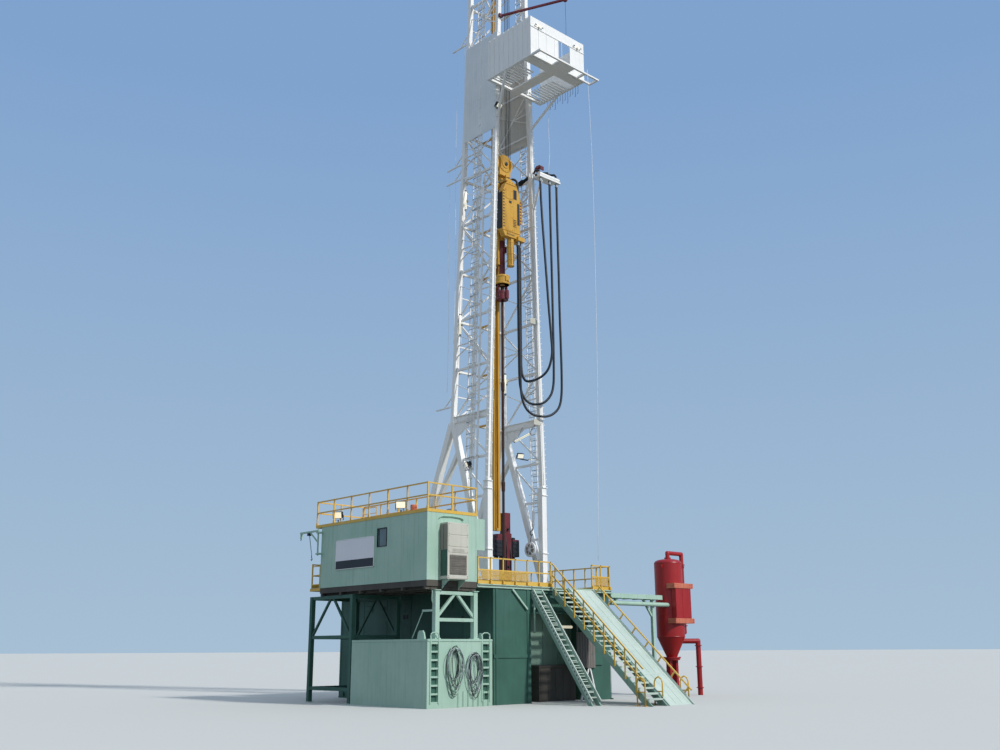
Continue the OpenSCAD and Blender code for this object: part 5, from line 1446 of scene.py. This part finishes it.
class RIG_OT_hoist_gear(bpy.types.Operator):
    """Block, top drive and pipe handler: cheeks, vents, covers, motors, hoses, rollers and links"""

    bl_idname = "rig.hoist_gear"
    bl_label = "Travelling gear"

    def execute(self, context):
        block, hub = Parts(), Parts()
        for y, d in ((90, 1), (-140, -1)):
            block.lathe([(0, 0), (215, 0), (220, 6), (214, 12), (120, 14), (112, 26), (60, 30), (0, 30)],
                        (0, y + d * 52, BLOCK_H), (0, d, 0), 48)
        for x, d in ((138, 1), (-138, -1)):
            block.lathe([(0, 0), (214, 0), (219, 6), (213, 12), (120, 14), (112, 30), (60, 34), (0, 34)],
                        (x, 0, BLOCK_H), (d, 0, 0), 48)
            for u, v in around(12, 178):
                block.bolt((x + d * 12, u, BLOCK_H + v), (d, 0, 0), 10, 9)
            hub.lathe([(0, 0), (54, 0), (54, 12), (30, 20), (0, 20)],
                      (x + d * 34, 0, BLOCK_H), (d, 0, 0), 24)
            for u, v in around(6, 40):
                hub.bolt((x + d * 46, u, BLOCK_H + v), (d, 0, 0), 6, 6)
        block.make("block_cheeks", "amber", "hoist", bevel=1)
        hub.make("block_hub", "black", "hoist")
        vents = Parts()
        for z in range(11480, 12465, 82):
            vents.box((DRIVE_FACE - 1, -288, z), (DRIVE_FACE + 4, -240, z + 34))
        for i in range(6):
            vents.box((DRIVE_FACE - 1, -160 + i * 46, 11300), (DRIVE_FACE + 4, -134 + i * 46, 11332))
        for y0, z0, y1, z1 in ((70, 12330, 190, 12590), (-80, 12180, 10, 12250), (205, 11640, 290, 12240)):
            vents.box((DRIVE_FACE - 1, y0, z0), (DRIVE_FACE + 4, y1, z1))
        for i in range(5):
            vents.box((DRIVE_FACE - 1, 60, 11560 + i * 44), (DRIVE_FACE + 4, 170, 11578 + i * 44))
        vents.box((60, -259, 11500), (205, -247, 12560))
        vents.box((214, -316, 11440), (352, -309, 12440))
        vents.make("top_drive_vents", "black", "hoist")
        sleeve = Parts()
        sleeve.lathe([(0, 10566), (70, 10566), (74, 10574), (74, 10640), (66, 10650), (66, 11120),
                      (78, 11130), (78, 11236), (0, 11236)], (0, 0, 0), Z, 32)
        for a, b in ((70, -40), (52, -66), (20, -80)):
            sleeve.tube([(a, b, 11240), (a + 14, b - 10, 11000), (a + 10, b - 4, 10760),
                         (a, b, 10620)], 13, 10)
        sleeve.box((60, -30, 10900), (130, 40, 11060))
        sleeve.make("top_drive_stem_sleeve", "maroon", "hoist", bevel=1)
        plate = Parts()
        for y0, z0, y1, z1, t in ((-215, 11420, 40, 12140, 9), (-190, 12290, 40, 12560, 10),
                                  (66, 12326, 74, 12594, 7), (186, 12326, 194, 12594, 7),
                                  (-306, 11392, 306, 11412, 13), (-196, 12700, 196, 12716, 13)):
            plate.box((DRIVE_FACE, y0, z0), (DRIVE_FACE + t, y1, z1))
        for z in (11452, 11790, 12105, 12320, 12530):
            for y in (-195, 22):
                plate.bolt((DRIVE_FACE + 9, y, z), X, 12, 10)
        for y in (-150, -50, 50, 150):
            plate.bolt((DRIVE_FACE + 2, y, 12760), X, 12, 10)
            plate.bolt((DRIVE_FACE + 2, y, 11362), X, 11, 10)
        for z in (11500, 11800, 12280):
            plate.bolt((DRIVE_FACE + 2, 298, z), X, 9, 9)
        plate.make("top_drive_covers", "amber", "hoist", bevel=4)
        dark = Parts()
        for s in (-1, 1):
            dark.box((-120, s * 246 - 8, 11760), (60, s * 246 + 8, 12040))
            dark.box((-120, s * 246 - 8, 12120), (60, s * 246 + 8, 12500))
            for i in range(8):
                dark.box((-100, s * 256 - 4, 12150 + i * 42), (50, s * 256 + 4, 12170 + i * 42))
        for i in range(8):
            dark.box((334, 250, 11700 + i * 84), (341, 380, 11738 + i * 84))
        dark.make("top_drive_side_grilles", "maroon", "hoist", bevel=3)
        motor = Parts()
        motor.lathe([(0, 0), (105, 0), (112, 8), (112, 180), (100, 200), (60, 210), (0, 210)],
                    (-20, -130, 12600), Z, 32)
        motor.lathe([(0, 0), (70, 0), (76, 8), (76, 130), (60, 146), (0, 146)], (-20, 130, 12600), Z, 28)
        for k in range(10):
            motor.lathe(rod(118, 0, 5), (-20, -130, 12622 + k * 15), Z, 32)
        motor.box((90, -150, 12805), (330, 60, 12870))
        motor.tube([(280, -100, 12860), (290, -104, 12950), (250, -60, 13010), (180, -20, 13030)], 22, 12)
        motor.make("top_drive_motor_tops", "amber", "hoist")
        neck = Parts()
        bend = [(190 - 80 * cos(a), 220 - 90 * cos(a), 12840 + 150 * sin(a)) for a in arc(12, pi)]
        neck.tube([(110, 130, 12780)] + bend + [(275, 320, 12560), (282, 350, 12440), (290, 330, 12410)],
                  30, 14)
        for k in range(4):
            neck.tube([(190, 250 + k * 26, 11660), (200 + k * 26, 300 + k * 12, 11560 - k * 20),
                       (240 + k * 30, 350 - k * 14, 11440 - k * 24), (230 + k * 44, 250 + k * 42, 11312)],
                      15, 10)
        neck.tube([(60, -150, 12790), (100, -120, 12900), (60, 60, 12930), (40, 150, 12760)], 18, 10)
        neck.make("top_drive_hose_cluster", "hose", "hoist")
        ends = Parts()
        for points in INNER_ROUTES:
            x, y, z = points[-1]
            ends.lathe([(0, -40), (38, -40), (38, -10), (33, -6), (33, 48), (38, 52), (38, 70), (0, 70)],
                       (x, y, z - 72), Z, 16)
        ends.make("drive_hose_ends", "zinc", "hoist")
        cyl = Parts()
        for z in (10512, 10660, 10830, 11000, 11130):
            cyl.lathe([(0, 0), (94, 0), (98, 5), (98, 28), (94, 33), (0, 33)], (240, 70, z), Z, 28)
        cyl.tube([(332, 92, 10540), (338, 94, 10900), (332, 92, 11240)], 9, 8)
        cyl.tube([(326, 20, 10540), (332, 18, 10900), (326, 20, 11240)], 9, 8)
        cyl.make("balance_cylinder_bands", "amber", "hoist")
        pins = Parts()
        for s in (-1, 1):
            for z in (13060, 12840):
                pins.lathe(rod(26, -30, 30), (30, s * 120, z), Y, 16)
        pins.make("block_link_pins", "zinc", "hoist")
        web = Parts()
        web.box((-281, -40, 3900), (-272, 40, 22500))
        for i in range(28):
            web.box((-272, -40, 4200 + i * 650), (-266, 40, 4216 + i * 650))
        web.make("guide_rail_web", "amber")
        wheels = Parts()
        for z in (11600, 12420):
            for s in (-1, 1):
                wheels.lathe([(0, -16), (44, -16), (50, -8), (50, 8), (44, 16), (0, 16)],
                             (-176, s * 130, z), Y, 24)
        wheels.make("carriage_rollers", "black", "hoist")
        turn = Parts()
        turn.lathe([(0, 10050), (183, 10050), (190, 10060), (190, 10100), (178, 10110), (178, 10230),
                    (190, 10240), (190, 10280), (183, 10290), (0, 10290)], (0, 0, 0), Z, 48)
        for u, v in around(16):
            for z in (10080, 10260):
                turn.bolt((189 * u, 189 * v, z), (u, v, 0), 8, 7)
        turn.box((120, -60, 10110), (204, 60, 10240))
        turn.box((150, -36, 10120), (212, 36, 10230))
        turn.make("handler_ring_detail", "amber", "handler", bevel=1)
        links = Parts()
        for s in (-1, 1):
            links.tube([(46 * cos(a), s * 152, 9860 + 66 * sin(a)) for a in arc(24)], 13, 10)
            links.tube([(0, s * 168, 9930), (0, s * 158, 10040)], 16, 10)
        links.make("handler_link_eyes", "maroon", "handler")
        jaw = Parts()
        jaw.lathe([(60, 9640), (148, 9640), (152, 9650), (152, 9700), (144, 9708), (144, 9812), (152, 9820),
                   (152, 9868), (60, 9868)], (0, 0, 0), Z, 40)
        jaw.box((130, -44, 9660), (200, 44, 9850))
        jaw.box((140, -30, 9640), (208, 30, 9870))
        jaw.make("elevator_detail", "maroon", "handler")
        joints = Parts()
        for z in (4760, 7260):
            joints.lathe([(0, 0), (33, 0), (44, 26), (44, 130), (46, 134), (46, 220), (33, 250), (0, 250)],
                         (0, 0, z), Z, 24)
        joints.make("drill_pipe_tool_joints", "pipe", "handler")
        return {"FINISHED"}


class RIG_OT_hose_fittings(bpy.types.Operator):
    """The service hoses over their saddle, with end plate, cover, couplings and safety chains"""

    bl_idname = "rig.hose_fittings"
    bl_label = "Hose fittings"

    def execute(self, context):
        top = Parts()
        for i, y in enumerate(HOSE_ROWS):
            lift = i * 26
            top.tube([(730, y, 13030), (730, y, 13110), (716, y - 6, 13180 + lift),
                      (680, y - 20, 13228 + lift), (610, y - 60, 13240 + lift),
                      (500, (y + 700) / 2, 13220 + lift), (380, 640 + i * 26, 13150),
                      (240, 590 + i * 22, 13060)], 27, 14)
        for k in range(3):
            top.tube([(240 - 480 * t, 590 + k * 24 - 40 * t, 13055 + 24 * sin(tau * 1.4 * t + k) - 20 * k)
                      for t in arc(16, 1)], 24, 12)
        top.make("saddle_hose_bundle", "hose")
        stop = Parts()
        stop.box((-262, 510, 12900), (-236, 700, 13130))
        stop.box((-240, 560, 12960), (-200, 660, 13080))
        for dy in (530, 680):
            for z in (12925, 13105):
                stop.bolt((-236, dy, z), X, 10, 9)
        stop.box((440, 560, 13060), (470, 720, 13180))
        stop.make("hose_bundle_end_plate", "white", bevel=2)
        cover = Parts()
        cover.plate([(-110, -60), (-110, 40), (-60, 82), (60, 82), (110, 40), (110, -60), (80, -60),
                     (70, 20), (-70, 20), (-80, -60)], 120, (600, 860, 13330), X, Z)
        cover.make("hose_bundle_cover", "maroon", bevel=3)
        bands = Parts()
        for points in OUTER_ROUTES:
            x, y, z = points[0]
            bands.lathe([(0, 0), (40, 0), (40, 26), (34, 30), (34, 84), (40, 88), (40, 112), (0, 112)],
                        (x, y, z - 106), Z, 16)
            bands.bolt((x, y, z + 3), Z, 16, 12)
        bands.make("service_hose_ends", "zinc")
        chain = Parts()
        for y in HOSE_ROWS:
            chain.tube([(700, y - 40, 13060), (715, y - 44, 12980), (728, y - 34, 12920)], 4, 6)
        chain.box((470, 660, 13054), (662, 1350, 13068))
        chain.make("saddle_chains_and_web", "white")
        return {"FINISHED"}


class RIG_OT_ladder(bpy.types.Operator):
    """Ladder rungs, cage straps and the cable tray's rungs"""

    bl_idname = "rig.ladder"
    bl_label = "Ladder and tray"

    def execute(self, context):
        bars = Parts()
        step = context.scene.rig_sizes.rung * 1000
        z = 4320
        while z < 21150:
            y = half_at(z) + 74
            bars.tube([(32, y, z), (238, y, z)], 9, 8)
            z += step
        bars.make("ladder_rungs", "zinc")
        cage = Parts()
        for z0 in range(5100, 13501, 250):
            y = half_at(z0) + 80
            cage.tube([(135 - 190 * cos(a), y + 250 * sin(a) * 0.92, z0) for a in arc(12, pi)], 6, 6)
        for k in (2, 4, 6, 8, 10):
            a = pi * k / 12
            cage.tube([(135 - 190 * cos(a), half_at(z0) + 80 + 230 * sin(a), z0)
                       for z0 in range(5100, 13500, 400)], 5, 6)
        cage.make("ladder_cage_straps", "white")
        tray = Parts()
        for z in range(5200, 17886, 295):
            tray.box((-326, -half_at(z) - 62, z), (-34, -half_at(z) - 56, z + 18))
        tray.make("cable_tray_rungs", "zinc")
        return {"FINISHED"}


class RIG_OT_floor_tools(bpy.types.Operator):
    """Iron roughneck with its jaws, motors and hoses, the raising sheave, and its line's cylinder"""

    bl_idname = "rig.floor_tools"
    bl_label = "Floor tools"

    def execute(self, context):
        wrench = Parts()
        for z0, z1, r in ((3180, 3330, 150), (3340, 3480, 140)):
            turns = [radians(40 + 280 * k / 27) for k in range(28)]
            back = [radians(320 - 280 * k / 27) for k in range(28)]
            outline = [(r * cos(a), r * sin(a)) for a in turns] + [(70 * cos(a), 70 * sin(a)) for a in back]
            wrench.plate(outline, z1 - z0, (-330, 360, z0 - 500))
        wrench.box((-400, 290, 2380), (-260, 430, 2440))
        wrench.make("roughneck_jaws", "maroon", bevel=3)
        motors = Parts()
        for y0, y1 in ((-83, 223), (507, 733)):
            motors.plate([(-463, 3247), (-227, 3247), (-227, 3620), (-260, 3663), (-430, 3663),
                          (-463, 3620)], y1 - y0, (0, y1, 0), X, Z)
            for z in (3330, 3440, 3550):
                motors.box((-228, y0 + 30, z), (-218, y1 - 30, z + 46))
            motors.lathe([(0, 0), (62, 0), (62, 50), (40, 60), (0, 60)], (-345, (y0 + y1) / 2, 3660), Z, 24)
            motors.lathe(rod(54, 0, 70), (-345, (y0 + y1) / 2, 3180), Z, 24)
        motors.make("roughneck_motors", "black", bevel=3)
        ends = Parts()
        for z in (2600, 3000, 3900):
            ends.lathe(rod(28, 0, 40), (-230, 360, z), X, 16)
            for y in (290, 430):
                ends.bolt((-239, y, z + 60), X, 9, 8)
        ends.tube([(-250, 300, 2500), (-205, 290, 2900), (-205, 295, 3400), (-250, 310, 3900)], 12, 10)
        ends.tube([(-250, 420, 2500), (-208, 428, 2900), (-208, 425, 3300), (-250, 410, 3700)], 12, 10)
        ends.make("roughneck_cylinders_and_hoses", "black")
        spokes = Parts()
        c = Vector(SHEAVE)
        for u, v in around(6, 1, 0.2):
            d = Vector((u, 0, v))
            for s in (-1, 1):
                shift = Vector((0, s * 26, 0))
                spokes.beam(c + d * 50 + shift, c + d * 150 + shift, 14, 30, Y)
        spokes.make("raising_sheave_spokes", "white", "sheave", bevel=2)
        web = Parts()
        for s in (-1, 1):
            web.lathe([(52, 0), (128, 0), (128, 4), (52, 4)], c + Vector((0, s * 22, 0)), (0, s, 0), 40)
        web.make("raising_sheave_web", "louvre", "sheave")
        line = Parts()
        line.lathe([(0, 0), (30, 0), (34, 6), (34, 300), (30, 306), (0, 306)], (195, 800, 4010),
                   (0, 0.08, 1), 24)
        line.tube([(195, 826, 4316), (195, 850, 4620), (200, 872, 4900)], 8, 8)
        line.box((165, 782, 3960), (225, 818, 4014))
        line.make("raising_line_cylinder", "white", bevel=1)
        hook = Parts()
        hook.tube([(195, 800, 3960), (195, 792, 3900), (195, 770, 3860), (195, 728, 3850), (195, 700, 3810),
                   (195, 712, 3765), (195, 750, 3745), (195, 778, 3770)], 13, 10)
        hook.tube([(195, 745, 3745), (195, 720, 3640), (195, 702, 3572)], 7, 8)
        hook.make("raising_line_hook", "black")
        return {"FINISHED"}


class RIG_OT_separator(bpy.types.Operator):
    """Gas separator: weld seams, flanges, bolts, lifting lugs and panel doors; and the trough's edges"""

    bl_idname = "rig.separator"
    bl_label = "Gas separator and trough"

    def execute(self, context):
        x, y = SEP
        rings = Parts()
        for z, r, t in ((1345, SEP_R, 16), (1880, SEP_R, 8), (2440, SEP_R, 8), (3080, SEP_R, 16)):
            rings.lathe([(0, -t / 2), (r + 2, -t / 2), (r + 5, 0), (r + 2, t / 2), (0, t / 2)],
                        (x, y, z), Z, 56)
        rings.lathe(rod(212, 0, 26), (x, y, 846), Z, 48)
        for u, v in around(16, 200):
            rings.bolt((x + u, y + v, 872), Z, 10, 10)
        rings.make("separator_seams_and_flange", "red")
        pipe = Parts()
        for z in (3060, 2420, 1600):
            pipe.lathe([(0, 0), (74, 0), (78, 4), (78, 18), (74, 22), (0, 22)], (x, y + 540, z), Z, 28)
        for u, v in around(8, 64):
            pipe.bolt((x + u, y + 540 + v, 3082), Z, 7, 8)
        for z in (1130, 640, 160):
            pipe.lathe([(0, 0), (82, 0), (86, 4), (86, 18), (82, 22), (0, 22)], (x + 360, y + 570, z), Z, 24)
        pipe.make("separator_pipe_flanges", "red")
        lugs = Parts()
        for a in (0.8, 2.9, 5.0):
            o = Vector((x + (SEP_R - 8) * cos(a), y + (SEP_R - 8) * sin(a), 2960))
            u = Vector((cos(a), sin(a), 0))
            lugs.plate([(0, 0), (60, 0), (70, 40), (44, 84), (0, 84)], 12, o, tuple(u), Z)
        lugs.make("separator_lifting_lugs", "red", bevel=1)
        bolts = Parts()
        for z in (1655, 2475):
            bolts.box((x + 398, y - 285, z + 4), (x + 403, y + 415, z + 106))
            bolts.box((x + 147, y - 293, z - 3), (x + 402, y + 423, z + 113))
            for dy in (-250, -160, 60, 280, 380):
                for dz in (28, 82):
                    bolts.bolt((x + 402, y + dy, z + dz), X, 10, 10)
            for dx in (200, 330):
                bolts.bolt((x + dx, y - 291, z + 55), (0, -1, 0), 12, 10)
        bolts.make("separator_clamp_bolts", "clamp")
        panel = Parts()
        panel.box((x + 386, y - 235, 1782), (x + 391, y - 20, 2458))
        panel.box((x + 386, y + 10, 1782), (x + 391, y + 330, 2458))
        for z in (1900, 2120, 2340):
            for dy in (-200, -40, 40, 300):
                panel.bolt((x + 391, y + dy, z), X, 8, 6)
        panel.make("separator_panel_doors", "red", bevel=1)
        edge = Parts()
        for dx in (2150, 2438):
            edge.box((dx, 1055, 2280), (dx + 12, 2845, 2292))
        for yy in (1400, 1750, 2100, 2450):
            edge.box((2146, yy, 2176), (2454, yy + 14, 2190))
        edge.make("trough_edges", "green", bevel=1)
        return {"FINISHED"}


class RIG_PT_panel(bpy.types.Panel):
    """Panel with one button per piece group"""

    bl_label = "Drilling rig"
    bl_idname = "RIG_PT_panel"
    bl_space_type = "VIEW_3D"
    bl_region_type = "UI"
    bl_category = "Drilling Rig"

    def draw(self, context):
        layout = self.layout
        for name in PAINTS:
            layout.prop(context.scene.rig_colours, name)
        layout.prop(context.scene.rig_sizes, "rope")
        layout.prop(context.scene.rig_sizes, "rung")
        for operator in OPERATORS:
            layout.operator(operator.bl_idname)


OPERATORS = (RIG_OT_stage, RIG_OT_hoses, RIG_OT_drilling_lines, RIG_OT_frame_paint, RIG_OT_substructure,
             RIG_OT_deck, RIG_OT_rails, RIG_OT_ramp, RIG_OT_doghouse, RIG_OT_cooling_unit, RIG_OT_roof_gear,
             RIG_OT_towers, RIG_OT_mast, RIG_OT_crown, RIG_OT_board, RIG_OT_hoist_gear, RIG_OT_hose_fittings,
             RIG_OT_ladder, RIG_OT_floor_tools, RIG_OT_separator)
CLASSES = (RigColours, RigSizes) + OPERATORS + (RIG_PT_panel,)


def register():
    """Registers the classes and the scene's settings."""
    for cls in CLASSES:
        bpy.utils.register_class(cls)
    bpy.types.Scene.rig_colours = bpy.props.PointerProperty(type=RigColours)
    bpy.types.Scene.rig_sizes = bpy.props.PointerProperty(type=RigSizes)


def unregister():
    """Takes the classes and the settings away again."""
    del bpy.types.Scene.rig_colours
    del bpy.types.Scene.rig_sizes
    for cls in reversed(CLASSES):
        bpy.utils.unregister_class(cls)


def main():
    """Registers the add-on and builds the looks."""
    register()
    for operator in OPERATORS:
        group, name = operator.bl_idname.split(".")
        getattr(getattr(bpy.ops, group), name)()


if __name__ == "__main__":
    main()
